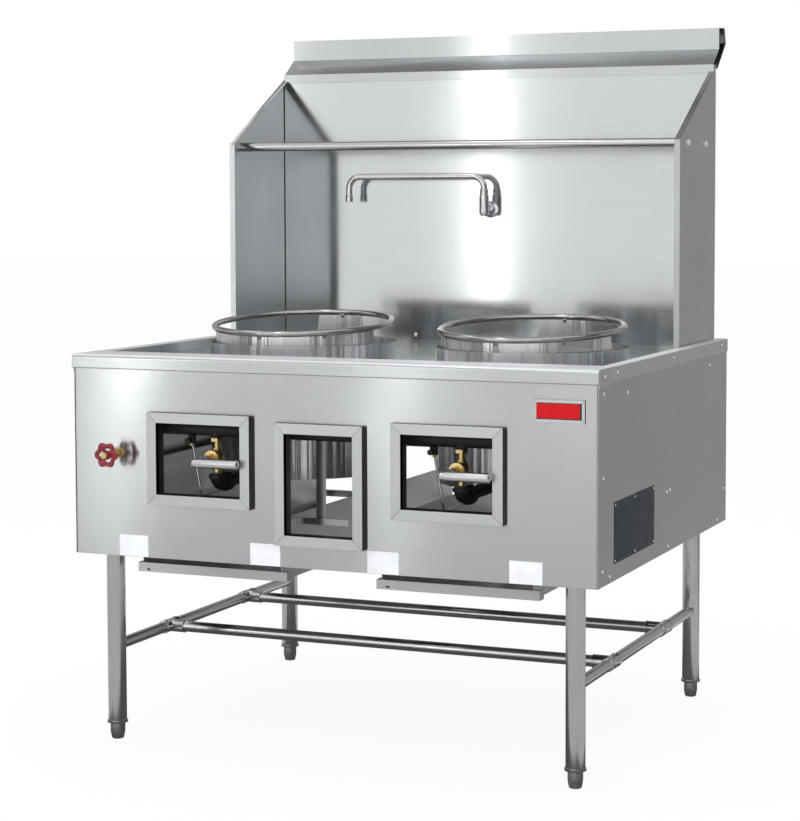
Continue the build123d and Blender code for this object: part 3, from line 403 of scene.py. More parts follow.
screw_steel.node_tree.nodes["Principled BSDF"].inputs["Metallic"].default_value = 0.6
foot_metal = cast_or_coated("foot_metal", (0.36, 0.37, 0.37), 0.38, 0.9, 0.0002, (0.5, 0.5, 0.48), 0.3)
black_sheet = cast_or_coated("black_sheet", (0.012, 0.013, 0.016), 0.35, 0.2, 0.00005, (0.1, 0.1, 0.11), 0.25)
black_iron = cast_or_coated("black_iron", (0.014, 0.014, 0.015), 0.42, 0.3, 0.0003, (0.09, 0.08, 0.075), 0.3)
burner_iron = cast_or_coated("burner_iron", (0.03, 0.028, 0.026), 0.6, 0.4, 0.0006, (0.16, 0.11, 0.08), 0.5)
brass = tube_steel("brass", (0.80, 0.60, 0.26), 0.22, ALONG_X, (0.35, 0.22, 0.08))
wheel_red = enamel("wheel_enamel", (0.27, 0.006, 0.014), 0.3, 0.35, 0.12)
badge_red = enamel("badge_enamel", (0.66, 0.002, 0.006), 0.4, 0.0, 0.03)
badge_red.node_tree.nodes["Principled BSDF"].inputs["Specular IOR Level"].default_value = 0.15
label_film = enamel("label_film", (0.95, 0.95, 0.95), 0.5, 0.0, 0.03)
plate_dark = enamel("plate_dark", (0.03, 0.036, 0.042), 0.5, 0.0, 0.15)
plate_dark.node_tree.nodes["Principled BSDF"].inputs["Specular IOR Level"].default_value = 0.25
# Near-black finish for the dark cores in the mitre joints and for painted shade: the frame bars' side faces
# and the flat rings round screw heads and studs. The drums' sheet edges take it too.
dark_joint_and_painted_shade = cast_or_coated("joints_and_painted_shade", (0.05, 0.05, 0.05), 0.5, 0.8, 0.0002, (0.2, 0.2, 0.2), 0.2)


# =====================================================================
# mesh helpers
# =====================================================================

def finish_mesh(bm, name, material, smooth=40.0):
    """Turns a bmesh into an object with smooth shading up to an angle."""
    bmesh.ops.recalc_face_normals(bm, faces=bm.faces)
    mesh = bpy.data.meshes.new(name)
    bm.to_mesh(mesh)
    bm.free()
    mesh.materials.append(material)
    for face in mesh.polygons:
        face.use_smooth = True
    mesh.set_sharp_from_angle(angle=math.radians(smooth))
    made = bpy.data.objects.new(name, mesh)
    bpy.context.scene.collection.objects.link(made)
    return made


def joined(name, objects):
    """Joins several objects to one piece and keeps their materials."""
    bm = bmesh.new()
    materials = []
    for one in objects:
        start = len(bm.faces)
        one.data.transform(one.matrix_world)
        bm.from_mesh(one.data)
        bm.faces.ensure_lookup_table()
        slots = []
        for material in one.data.materials:
            if material not in materials:
                materials.append(material)
            slots.append(materials.index(material))
        for face in bm.faces[start:]:
            face.material_index = slots[face.material_index]
        old = one.data
        bpy.data.objects.remove(one)
        bpy.data.meshes.remove(old)
    mesh = bpy.data.meshes.new(name)
    bm.to_mesh(mesh)
    bm.free()
    for material in materials:
        mesh.materials.append(material)
    made = bpy.data.objects.new(name, mesh)
    bpy.context.scene.collection.objects.link(made)
    return made


def axis_matrix(origin, direction, side=None):
    """A frame at origin whose z runs along direction."""
    z = Vector(direction).normalized()
    hint = Vector(side) if side else (Vector((1, 0, 0)) if abs(z.x) < 0.9 else Vector((0, 1, 0)))
    x = (hint - z * hint.dot(z)).normalized()
    y = z.cross(x)
    turn = Matrix((x, y, z)).transposed().to_4x4()
    return Matrix.Translation(Vector(origin)) @ turn


def lathe(name, profile, origin, direction, material, turns=40, lobe=None, smooth=35.0):
    """Turns a (radius, height) profile about an axis; lobe(angle, radius) may shape it."""
    bm = bmesh.new()
    place = axis_matrix(origin, direction)
    rows = []
    for radius, height in profile:
        row = []
        count = 1 if radius < 1e-7 else turns
        for step in range(count):
            angle = 2 * math.pi * step / turns
            reach = lobe(angle, radius) if lobe else radius
            spot = Vector((reach * math.cos(angle), reach * math.sin(angle), height))
            row.append(bm.verts.new(place @ spot))
        rows.append(row)
    for low, high in zip(rows, rows[1:]):
        for step in range(turns):
            corners = []
            for row, index in ((low, step), (low, step + 1), (high, step + 1), (high, step)):
                corner = row[index % len(row)]
                if corner not in corners:
                    corners.append(corner)
            if len(corners) > 2:
                bm.faces.new(corners)
    for row in (rows[0], rows[-1]):
        if len(row) > 2:
            bm.faces.new(row)
    return finish_mesh(bm, name, material, smooth)


def plain_rod(name, radius, low, high, origin, direction, material, turns):
    """A round bar from low to high along direction."""
    profile = ((0.0, low), (radius, low), (radius, high), (0.0, high))
    return lathe(name, profile, origin, direction, material, turns)


def hex_nut(name, across, low, high, origin, direction, material, turn=0.0):
    """A hexagon with chamfered corners."""
    place = axis_matrix(origin, direction)
    bm = bmesh.new()
    rows = []
    corner_r = across / math.sqrt(3)
    for share, height in ((0.93, low), (1.0, low + across * 0.04), (1.0, high - across * 0.04), (0.93, high)):
        row = []
        for step in range(6):
            angle = math.radians(60 * step) + turn
            spot = Vector((corner_r * share * math.cos(angle), corner_r * share * math.sin(angle), height))
            row.append(bm.verts.new(place @ spot))
        rows.append(row)
    for lower, upper in zip(rows, rows[1:]):
        for step in range(6):
            bm.faces.new((lower[step], lower[(step + 1) % 6], upper[(step + 1) % 6], upper[step]))
    bm.faces.new(rows[0])
    bm.faces.new(rows[-1])
    return finish_mesh(bm, name, material, 20.0)


def arc_route(points, bend, steps=10):
    """Points along a pipe whose corners are elbows of this bend radius."""
    corners = [Vector(point) for point in points]
    route = [corners[0]]
    for before, corner, after in zip(corners, corners[1:], corners[2:]):
        into = (corner - before).normalized()
        out = (after - corner).normalized()
        turn = into.angle(out)
        if turn < 0.01:
            continue
        towards = (out - into * out.dot(into)).normalized()
        start = corner - into * bend * math.tan(turn / 2)
        pivot = start + towards * bend
        for step in range(steps + 1):
            angle = turn * step / steps
            route.append(pivot + into * bend * math.sin(angle) - towards * bend * math.cos(angle))
    route.append(corners[-1])
    return route


def tube(name, route, radius, material, turns=24, closed=False, bore=0.0):
    """A round tube along a route; with a bore it is open at both ends."""
    bm = bmesh.new()
    count = len(route)
    rings = []
    side = None
    for index, spot in enumerate(route):
        before = route[index - 1] if (index > 0 or closed) else spot
        after = route[(index + 1) % count] if (index < count - 1 or closed) else spot
        along = (after - before).normalized()
        if side is None:
            side = along.orthogonal().normalized()
        side = (side - along * side.dot(along)).normalized()
        other = along.cross(side)
        rings.append([
            bm.verts.new(spot + (side * math.cos(angle) + other * math.sin(angle)) * radius)
            for angle in (2 * math.pi * step / turns for step in range(turns))
        ])
    pairs = list(zip(rings, rings[1:]))
    if closed:
        pairs.append((rings[-1], rings[0]))
    for low, high in pairs:
        for step in range(turns):
            bm.faces.new((low[step], low[(step + 1) % turns], high[(step + 1) % turns], high[step]))
    if not closed:
        for ring in (rings[0], rings[-1]):
            if bore:
                centre = sum((corner.co for corner in ring), Vector()) / turns
                inner = [bm.verts.new(centre + (corner.co - centre) * bore / radius) for corner in ring]
                for step in range(turns):
                    following = (step + 1) % turns
                    bm.faces.new((ring[step], ring[following], inner[following], inner[step]))
            else:
                bm.faces.new(ring)
    return finish_mesh(bm, name, material)


def plate(name, outline, direction, thickness, material, edge=0.0):
    """A flat plate from an outline of points, extruded along direction, with rounded edges."""
    bm = bmesh.new()
    face = bm.faces.new([bm.verts.new(Vector(point)) for point in outline])
    grown = bmesh.ops.extrude_face_region(bm, geom=[face])
    moved = [item for item in grown["geom"] if isinstance(item, bmesh.types.BMVert)]
    bmesh.ops.translate(bm, verts=moved, vec=Vector(direction).normalized() * thickness)
    if edge:
        bmesh.ops.bevel(
            bm, geom=bm.edges[:], offset=edge, segments=2, profile=0.7, affect="EDGES",
            clamp_overlap=True,
        )
    return finish_mesh(bm, name, material, 30.0)


def box_piece(name, low, high, material, edge=0.0006):
    """A folded or cut bar: a box with softened edges."""
    low, high = Vector(low), Vector(high)
    outline = (
        (low.x, low.y, low.z), (high.x, low.y, low.z), (high.x, high.y, low.z), (low.x, high.y, low.z),
    )
    return plate(name, outline, (0, 0, 1), high.z - low.z, material, edge)


def islands(node):
    """Lowest and highest corner of each loose solid of a CAD node."""
    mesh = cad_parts[node].data
    spots = {}
    parent = []

    def root(index):
        while parent[index] != index:
            index = parent[index]
        return index

    for vertex in mesh.vertices:
        key = tuple(round(value * 20000) for value in vertex.co)
        if key not in spots:
            spots[key] = len(parent)
            parent.append(len(parent))
    owner = [spots[tuple(round(value * 20000) for value in vertex.co)] for vertex in mesh.vertices]
    for edge in mesh.edges:
        a, b = (root(owner[index]) for index in edge.vertices)
        parent[a] = b
    found = {}
    for vertex, index in zip(mesh.vertices, owner):
        key = root(index)
        low, high = found.get(key, (vertex.co.copy(), vertex.co.copy()))
        found[key] = (Vector(map(min, low, vertex.co)), Vector(map(max, high, vertex.co)))
    return sorted(found.values(), key=lambda pair: tuple(round(part, 3) for part in pair[0]))


def stand_for(piece, node, body="cabinet"):
    """Lets a piece take the place of a CAD node on its body."""
    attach(piece, body)
    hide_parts(node)
    return piece


# =====================================================================
# finishes of the CAD nodes that stay
# =====================================================================

def paint(material, *nodes):
    for name in nodes:
        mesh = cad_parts[name].data
        if not mesh.materials:
            mesh.materials.append(material)
        for index in range(len(mesh.materials)):
            mesh.materials[index] = material


paint(panel_steel, "front_panel")
paint(side_steel, "side_panel_left", "side_panel_right", "rear_skin", "splash_side_left", "splash_side_right")
paint(back_steel, "back_panel")
paint(deck_steel, "deck")
paint(rim_steel, "front_rim", "deck_drain")
paint(side_rim_steel, "side_rim_left", "side_rim_right")
paint(cap_steel, "top_cap")
paint(tray_steel, "drip_tray_left", "drip_tray_right")
paint(black_sheet, "window_liners", "pipe_hangers")
paint(tray_steel, "rear_rail", "tray_skirts", "inner_frame")
paint(leg_steel, "end_frame_left", "end_frame_right")
paint(rail_steel, "cross_rails", "rail_tees", "utensil_bar")
paint(brass, "water_valve", "wheel_spindle")
paint(drum_steel, "chamber_left", "chamber_right", "collar_left", "collar_right")
paint(chrome, "name_bezel", "faucet_base", "spout")
paint(ring_steel, "wok_ring_left", "wok_ring_right")
paint(burner_iron, "burner_left", "burner_right")
paint(black_iron, "gas_manifold", "supply_pipe_left", "supply_pipe_right", "pilots")
paint(brass, "gas_valve_left", "gas_valve_right")
paint(grip_steel, "lever_left", "lever_right", "water_pipe")
paint(wheel_red, "handwheel")
paint(badge_red, "name_field")
paint(label_film, "labels")
paint(plate_dark, "rating_plate")
paint(screw_steel, "panel_screws", "splash_bolts")
paint(foot_metal, "foot_front_left", "foot_front_right", "foot_rear_left", "foot_rear_right")


# =====================================================================
# wok stations: drums, collars and rings
# =====================================================================

DRUM_STEPS = 144


def drum_wall(name, centre, radius, sheet, low, top_at, material, skip=None):
    """A rolled sheet wall whose top edge follows top_at(angle, spot)."""
    bm = bmesh.new()
    rows = []
    for step in range(DRUM_STEPS):
        angle = 2 * math.pi * step / DRUM_STEPS
        row = []
        for reach in (radius, radius - sheet):
            spot = Vector((centre[0] + reach * math.cos(angle), centre[1] + reach * math.sin(angle), 0))
            base = low if not (skip and skip(angle)) else skip(angle)
            row.append(bm.verts.new(Vector((spot.x, spot.y, base))))
            row.append(bm.verts.new(Vector((spot.x, spot.y, top_at(angle, spot)))))
        rows.append(row)
    edge_faces = []
    for index, row in enumerate(rows):
        after = rows[(index + 1) % len(rows)]
        outer_low, outer_top, inner_low, inner_top = row
        next_outer_low, next_outer_top, next_inner_low, next_inner_top = after
        bm.faces.new((outer_low, next_outer_low, next_outer_top, outer_top))
        bm.faces.new((inner_low, inner_top, next_inner_top, next_inner_low))
        edge_faces.append(bm.faces.new((outer_top, next_outer_top, next_inner_top, inner_top)))
        edge_faces.append(bm.faces.new((outer_low, inner_low, next_inner_low, next_outer_low)))
    # The sheet's top and bottom edge faces take the dark finish.
    for face in edge_faces:
        face.material_index = 1
    made = finish_mesh(bm, name, material, 50.0)
    made.data.materials.append(dark_joint_and_painted_shade)
    return made


def ring_plane(y, drop=0.0):
    """Height of the tilted ring plane at this depth."""
    return RING_Z - drop / math.cos(RING_TILT) + (y - CHAMBER_Y) * math.tan(RING_TILT)


def collar_top(angle, spot):
    degrees = (math.degrees(angle) + 360) % 360
    vent = degrees > 348 or degrees < 72 or 106 < degrees < 192
    return VENT_Z if vent else ring_plane(spot.y, RING_BAR + 0.0002)


def drum_top(angle, spot):
    """The drum's top edge is level all round."""
    return CHAMBER_TOP


def supply_gap(angle):
    """The drum is cut away at the front for the gas supply."""
    return BURNER_Z + 0.019 if abs(math.degrees(angle) - 270) < 4.8 else 0


for side, sx in SIDES:
    centre = (sx * CHAMBER_X, CHAMBER_Y)
    parts = [drum_wall(
        "drum", centre, CHAMBER_R, SHEET, CHAMBER_LOW, drum_top, drum_steel, supply_gap,
    )]
    for quarter in range(4):
        turn = Matrix.Rotation(quarter * math.pi / 2, 4, "Z")
        bracket = box_piece(
            "bracket", (CHAMBER_R - 0.024, -0.012, COLLAR_LOW - 0.004),
            (CHAMBER_R - SHEET, 0.012, COLLAR_LOW), drum_steel,
        )
        bracket.matrix_world = Matrix.Translation((*centre, 0)) @ turn
        bpy.context.view_layer.update()
        parts.append(bracket)
    parts.append(box_piece(
        "burner_bar", (centre[0] - CHAMBER_R + SHEET, centre[1] - 0.015, CHAMBER_LOW + 0.002),
        (centre[0] + CHAMBER_R - SHEET, centre[1] + 0.015, CHAMBER_LOW + 0.007), drum_steel,
    ))
    stand_for(joined("wok_drum_" + side, parts), "chamber_" + side)
    stand_for(
        drum_wall("collar_wall_" + side, centre, COLLAR_R, 0.002, COLLAR_LOW, collar_top, drum_steel),
        "collar_" + side, "wok_ring_" + side,
    )
    tilt = Matrix.Translation((*centre, RING_Z)) @ Matrix.Rotation(RING_TILT, 4, "X")
    circle = [
        tilt @ Vector((RING_R * math.cos(angle), RING_R * math.sin(angle), 0))
        for angle in (2 * math.pi * step / 160 for step in range(160))
    ]
    parts = [tube("bar", circle, RING_BAR, ring_steel, 24, closed=True)]
    for degrees in (-93, -51, 22, 88):
        tab = box_piece("tab", (-0.006, -0.0045, -0.013), (0.0015, 0.0045, -0.004), ring_steel, 0.001)
        turn = Matrix.Rotation(math.radians(degrees), 4, "Z")
        tab.matrix_world = tilt @ turn @ Matrix.Translation((RING_R, 0, 0))
        bpy.context.view_layer.update()
        parts.append(tab)
    stand_for(joined("ring_bar_" + side, parts), "wok_ring_" + side, "wok_ring_" + side)


# =====================================================================
# burners and the gas train
# =====================================================================

JET_TIP = (
    (0.0, 0.01), (0.0048, 0.012), (0.0048, 0.018), (0.003, 0.024), (0.0012, 0.024), (0.0012, 0.02),
    (0.0, 0.02),
)

for side, sx in SIDES:
    centre = Vector((sx * CHAMBER_X, CHAMBER_Y, CHAMBER_LOW + 0.0073))
    head = (
        (0.0, 0.0), (0.062, 0.0), (0.069, 0.004), (0.07, 0.012), (0.068, 0.022), (0.064, 0.026), (0.0, 0.026),
    )
    parts = [lathe("head", head, centre, (0, 0, 1), burner_iron, 48)]
    inlet_spot = (centre.x, centre.y - 0.06, BURNER_Z + 0.005)
    parts.append(plain_rod("inlet", 0.018, 0.0, 0.03, inlet_spot, (0, -1, 0), burner_iron, 24))
    for ring_r, count in ((0.0, 1), (0.027, 6), (0.054, 12)):
        for step in range(count):
            angle = 2 * math.pi * step / count
            spot = centre + Vector((ring_r * math.cos(angle), ring_r * math.sin(angle), 0.026))
            parts.append(hex_nut("jet", 0.0115, 0.0, 0.012, spot, (0, 0, 1), brass, angle))
            parts.append(lathe("tip", JET_TIP, spot, (0, 0, 1), brass, 12))
    stand_for(joined("burner_head_" + side, parts), "burner_" + side)

manifold_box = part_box("gas_manifold")
side_x = manifold_box[1].x - PIPE_R
end_y = manifold_box[1].y
route = arc_route(
    (
        (manifold_box[0].x + 0.012, PIPE_Y, PIPE_Z), (side_x, PIPE_Y, PIPE_Z),
        (side_x, end_y - 0.025, PIPE_Z),
    ),
    0.03,
)
parts = [tube("pipe", route, PIPE_R, black_iron, 32)]
stub_route = [Vector((side_x, end_y - 0.026, PIPE_Z)), Vector((side_x, end_y, PIPE_Z))]
parts.append(tube("stub", stub_route, 0.0162, black_iron, 32, bore=0.0125))
cap = ((0.0, 0.0), (0.014, 0.0), (0.0195, 0.004), (0.02, 0.024), (0.0, 0.024))
parts.append(lathe("end_cap", cap, (manifold_box[0].x, PIPE_Y, PIPE_Z), (1, 0, 0), black_iron, 32))
boss = ((0.0, 0.0), (0.0135, 0.0), (0.014, 0.001), (0.014, 0.008), (0.0155, PIPE_R - 0.001), (0.0, PIPE_R))
for sx in (-1, 1):
    boss_spot = (sx * CHAMBER_X, PIPE_Y, PIPE_Z - PIPE_R - 0.002)
    parts.append(lathe("boss", boss, boss_spot, (0, 0, 1), black_iron, 32))
stand_for(joined("manifold_pipe", parts), "gas_manifold")

for side, sx in SIDES:
    x = sx * CHAMBER_X
    top = PIPE_Z - PIPE_R - 0.0023
    parts = [
        hex_nut("top_nut", 0.025, -0.0095, 0.0, (x, PIPE_Y, top), (0, 0, 1), brass),
        plain_rod("neck", 0.0068, VALVE_Z + 0.019, top - 0.009, (x, PIPE_Y, 0), (0, 0, 1), brass, 24),
        lathe(
            "barrel",
            (
                (0.0, -0.022), (0.0105, -0.022), (0.011, -0.013), (0.015, -0.012), (0.016, -0.006),
                (0.0165, 0.0), (0.016, 0.008), (0.013, 0.014), (0.0105, 0.016), (0.0105, 0.022), (0.0, 0.022),
            ),
            (x, PIPE_Y, VALVE_Z), (0, 0, 1), brass, 32,
        ),
        lathe(
            "bonnet",
            (
                (0.0, 0.0), (0.012, 0.0), (0.012, 0.021), (0.0175, 0.022), (0.0182, 0.023), (0.0182, 0.027),
                (0.0175, 0.028), (0.012, 0.0285), (0.0052, 0.0285), (0.0052, 0.02), (0.0, 0.02),
            ),
            (x, PIPE_Y, VALVE_Z), (0, -1, 0), brass, 40,
        ),
        hex_nut("gland_nut", 0.0195, 0.0283, 0.036, (x, PIPE_Y, VALVE_Z), (0, -1, 0), brass, 0.3),
        plain_rod(
            "tail", 0.008, SUPPLY_TOP + 0.0005, VALVE_Z - 0.02, (x, PIPE_Y, 0), (0, 0, 1), brass, 24,
        ),
    ]
    stand_for(joined("gas_cock_" + side, parts), "gas_valve_" + side)
    elbow = arc_route(
        ((x, PIPE_Y, SUPPLY_TOP - 0.004), (x, PIPE_Y, BURNER_Z), (x, PIPE_Y + 0.045, BURNER_Z)), 0.0195, 12,
    )
    band = (
        (0.0, 0.0), (0.0175, 0.0), (0.0188, 0.0012), (0.0188, 0.0075), (0.0175, 0.0088), (0.0155, 0.0092),
        (0.0, 0.0092),
    )
    coupling = ((0.0, 0.0), (0.0195, 0.0), (0.021, 0.002), (0.021, 0.018), (0.0195, 0.02), (0.0, 0.02))
    parts = [
        tube("elbow", elbow, 0.0158, black_iron, 32),
        lathe("upper_band", band, (x, PIPE_Y, SUPPLY_TOP - 0.0092), (0, 0, 1), black_iron, 32),
        lathe("coupling", coupling, (x, PIPE_Y + 0.03, BURNER_Z), (0, 1, 0), black_iron, 32),
        tube(
            "nipple", [Vector((x, PIPE_Y + 0.045, BURNER_Z)), Vector((x, CHAMBER_Y - 0.0903, BURNER_Z))],
            0.0135, black_iron, 28,
        ),
    ]
    stand_for(joined("supply_elbow_" + side, parts), "supply_pipe_" + side)

# pilot cocks under the manifold, each with its thin tube to the burner
parts = []
for side, sx in SIDES:
    x = sx * CHAMBER_X - 0.062
    low = PIPE_Z - PIPE_R - 0.0093
    parts.append(box_piece(
        "cock", (x - 0.007, PIPE_Y - 0.007, low - 0.009), (x + 0.007, PIPE_Y + 0.007, low + 0.009),
        black_iron, 0.0015,
    ))
    parts.append(lathe(
        "key", ((0.0, 0.0), (0.0045, 0.0), (0.0045, 0.012), (0.006, 0.013), (0.006, 0.018), (0.0, 0.0185)),
        (x, PIPE_Y - 0.005, PIPE_Z - 0.027), (0, -1, 0), black_iron, 20,
    ))
    parts.append(hex_nut("nut", 0.009, 0.0, 0.006, (x, PIPE_Y, low - 0.014), (0, 0, 1), brass))
    low_z = CHAMBER_LOW - 0.016
    route = arc_route(
        (
            (x, PIPE_Y, PIPE_Z - PIPE_R - 0.012), (x + 0.022, PIPE_Y + 0.002, low_z),
            (x - 0.02, CHAMBER_Y - 0.06, low_z), (x - 0.02, CHAMBER_Y - 0.06, low_z + 0.072),
        ),
        0.014, 8,
    )
    parts.append(tube("thin_tube", route, 0.0026, rail_steel, 12))
stand_for(joined("pilot_train", parts), "pilots")


# =====================================================================
# levers
# =====================================================================

GRIP_R = 0.0105
GRIP_LONG = 0.103

for side, sx in SIDES:
    x = sx * CHAMBER_X
    grip_y = FRONT_Y - 0.0285
    grip_z = VALVE_Z - 0.002
    end = GRIP_LONG
    profile = [(0.0, 0.0), (GRIP_R * 0.7, 0.0), (GRIP_R * 0.95, 0.001), (GRIP_R, 0.0035)]
    profile += [
        (GRIP_R * math.cos(angle), end - GRIP_R * 0.7 + GRIP_R * 0.7 * math.sin(angle))
        for angle in (math.radians(10 * step) for step in range(10))
    ]
    parts = [lathe("grip", profile, (x - 0.001, grip_y, grip_z), (1, 0, 0), grip_steel, 40)]
    strap_route = arc_route(
        (
            (x + 0.004, FRONT_Y + 0.0115, 0), (x - 0.0165, FRONT_Y + 0.0115, 0),
            (x - 0.0165, FRONT_Y - 0.0285, 0), (x + 0.006, FRONT_Y - 0.0285, 0),
        ),
        0.009, 8,
    )
    outline = []
    half = 0.0014
    for spots in (strap_route, list(reversed(strap_route))):
        for index, spot in enumerate(spots):
            before = spots[max(index - 1, 0)]
            after = spots[min(index + 1, len(spots) - 1)]
            along = (after - before).normalized()
            outline.append(spot + Vector((-along.y, along.x, 0)) * half + Vector((0, 0, VALVE_Z - 0.008)))
    parts.append(plate("strap", outline, (0, 0, 1), 0.012, chrome, 0.0005))
    stem_spot = (x, FRONT_Y + 0.005, VALVE_Z)
    parts.append(plain_rod("stem", 0.005, 0.0, 0.05, stem_spot, (0, 1, 0), brass, 24))
    parts.append(hex_nut("lock_nut", 0.0155, 0.0, 0.0045, (x, FRONT_Y + 0.0095, VALVE_Z), (0, -1, 0), chrome))
    parts.append(lathe(
        "hub", ((0.0, 0.0), (0.0085, 0.0), (0.009, 0.0008), (0.009, 0.0045), (0.0, 0.005)),
        (x, FRONT_Y + 0.0135, VALVE_Z), (0, 1, 0), chrome, 28,
    ))
    stand_for(joined("lever_grip_" + side, parts), "lever_" + side, "lever_" + side)


# =====================================================================
# water: hand wheel, supply pipe, faucet and spout
# =====================================================================

WHEEL_R = 0.0262
LOBE = 0.0029


def wheel_radius(angle):
    return WHEEL_R + LOBE * math.cos(6 * angle)


def kidney(angle, radius):
    """True inside one of the three kidney slots of the wheel's web."""
    within = (math.degrees(angle) + 360) % 120
    return 22 < within < 98 and 0.0105 < radius < 0.0175


def hand_wheel():
    y = WHEEL_FACE + 0.0125
    centre = Vector((WHEEL_X, y, WHEEL_Z))
    route = []
    for step in range(144):
        angle = 2 * math.pi * step / 144
        reach = wheel_radius(angle) - 0.0045
        route.append(centre + Vector((reach * math.cos(angle), 0, reach * math.sin(angle))))
    parts = [tube("rim", route, 0.0047, wheel_red, 16, closed=True)]
    bm = bmesh.new()
    steps, radii = 72, (0.0075, 0.0105, 0.013, 0.0155, 0.0175, 0.0205)
    grid = []
    for step in range(steps):
        angle = 2 * math.pi * step / steps
        row = []
        for radius in radii:
            dish = 0.0028 * (1 - (radius - radii[0]) / (radii[-1] - radii[0]))
            spot = Vector((radius * math.cos(angle), dish, radius * math.sin(angle)))
            row.append(bm.verts.new(centre + spot))
        grid.append(row)
    for step in range(steps):
        after = grid[(step + 1) % steps]
        middle = 2 * math.pi * (step + 0.5) / steps
        for index in range(len(radii) - 1):
            if not kidney(middle, (radii[index] + radii[index + 1]) / 2):
                bm.faces.new((grid[step][index], after[index], after[index + 1], grid[step][index + 1]))
    lone = [vertex for vertex in bm.verts if not vertex.link_faces]
    bmesh.ops.delete(bm, geom=lone, context="VERTS")
    bmesh.ops.solidify(bm, geom=bm.faces[:], thickness=0.003)
    parts.append(finish_mesh(bm, "web", wheel_red))
    hub = (
        (0.0046, -0.0045), (0.0078, -0.0045), (0.0086, -0.0035), (0.0088, 0.004), (0.0078, 0.0065),
        (0.0046, 0.0065),
    )
    parts.append(lathe("hub", hub, centre, (0, 1, 0), wheel_red, 32))
    return joined("red_wheel", parts)


stand_for(hand_wheel(), "handwheel", "hand_wheel")
parts = [
    plain_rod(
        "spindle", 0.0046, 0.0, 0.085, (WHEEL_X, WHEEL_FACE + 0.002, WHEEL_Z), (0, 1, 0), brass, 24,
    ),
    hex_nut("cap_nut", 0.0125, 0.0, 0.0055, (WHEEL_X, WHEEL_FACE + 0.006, WHEEL_Z), (0, -1, 0), brass),
    lathe(
        "stub", ((0.0, 0.0), (0.0042, 0.0), (0.0034, 0.0012), (0.0, 0.0014)),
        (WHEEL_X, WHEEL_FACE + 0.0014, WHEEL_Z), (0, -1, 0), brass, 20,
    ),
]
stand_for(joined("wheel_stem", parts), "wheel_spindle", "hand_wheel")

water_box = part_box("water_pipe")
wall_y = water_box[1].y - 0.0075
left_x = water_box[0].x + 0.0075
water_z = PIPE_Z + 0.011
route = arc_route(
    (
        (WHEEL_X, FRONT_Y + 0.045, WHEEL_Z + 0.0363), (WHEEL_X, FRONT_Y + 0.045, water_z),
        (left_x, FRONT_Y + 0.045, water_z), (left_x, wall_y, water_z), (left_x, wall_y, FAUCET_Z),
        (-0.0143, wall_y, FAUCET_Z),
    ),
    0.022, 8,
)
stand_for(tube("water_tube", route, 0.0072, rail_steel, 20), "water_pipe")

spout_route = arc_route(
    (
        (0, SWIVEL_Y, SWIVEL_Z + 0.012), (0, SWIVEL_Y, SPOUT_Z), (-SPOUT_REACH, SWIVEL_Y, SPOUT_Z),
        (-SPOUT_REACH, SWIVEL_Y, SWIVEL_Z - 0.004),
    ),
    0.03, 14,
)
swivel = (
    (0.0067, 0.0004), (0.0098, 0.0004), (0.0105, 0.0012), (0.0105, 0.0125), (0.0095, 0.0145),
    (0.0078, 0.0152),
)
mouth = (
    (0.0066, 0.0), (0.0085, 0.0), (0.0095, 0.0008), (0.0095, 0.0155), (0.0085, 0.0178), (0.0078, 0.018),
    (0.0066, 0.016),
)
parts = [
    tube("bend", spout_route, 0.008, chrome, 28, bore=0.0066),
    lathe("swivel", swivel, (0, SWIVEL_Y, SWIVEL_Z), (0, 0, 1), chrome, 36),
    lathe("mouth", mouth, (-SPOUT_REACH, SWIVEL_Y, SWIVEL_Z - 0.018), (0, 0, 1), chrome, 36),
]
stand_for(joined("swing_spout", parts), "spout", "spout")
neck_low = SWIVEL_Z - 0.05
body = (
    (0.0, -0.004), (0.0075, -0.004), (0.009, -0.002), (0.009, 0.0), (0.0115, 0.0008), (0.012, 0.003),
    (0.012, 0.044), (0.0115, 0.0495), (0.0064, 0.0499), (0.0064, 0.062), (0.0, 0.0628),
)
flange = (
    (0.0, 0.0), (0.0195, 0.0), (0.021, 0.0008), (0.0205, 0.0028), (0.0145, 0.0045), (0.013, 0.0065),
    (0.013, 0.0117), (0.0, 0.0117),
)
parts = [
    lathe("faucet_body", body, (0, SWIVEL_Y, neck_low), (0, 0, 1), chrome, 40),
    lathe("flange", flange, (0, BACK_Y - 0.0003, FAUCET_Z), (0, -1, 0), chrome, 40),
    plain_rod("neck", 0.0095, 0.0, 0.045, (0, BACK_Y, FAUCET_Z), (0, -1, 0), chrome, 32),
    plain_rod("tail", 0.0085, 0.0, wall_y - BACK_Y, (0, BACK_Y, FAUCET_Z), (0, 1, 0), rail_steel, 24),
    hex_nut("union_nut", 0.024, 0.0, 0.009, (0, BACK_Y - 0.0115, FAUCET_Z), (0, -1, 0), chrome),
    box_piece(
        "tee", (-0.014, wall_y - 0.012, FAUCET_Z - 0.011), (0.012, wall_y + 0.008, FAUCET_Z + 0.011),
        brass, 0.002,
    ),
]
stand_for(joined("faucet_wall_set", parts), "faucet_base")


# =====================================================================
# stand: feet and rail fittings
# =====================================================================

FLAT_REACH = 0.0146     # from the foot's axis to a spanner flat
BULLET = (
    (0.0, 0.0), (0.0105, 0.0), (0.0125, 0.0006), (0.0138, 0.003), (0.0150, 0.009), (0.0161, 0.0145),
    (0.0165, 0.0165), (0.0165, 0.0345), (0.0155, 0.0368), (0.0081, 0.0369), (0.0079, 0.1185), (0.0, 0.119),
)


def spanner_flats(angle, radius):
    """Two spanner flats on the wide part of the foot."""
    if radius < 0.0148:
        return radius
    return min(radius, FLAT_REACH / max(abs(math.cos(angle)), 1e-6))


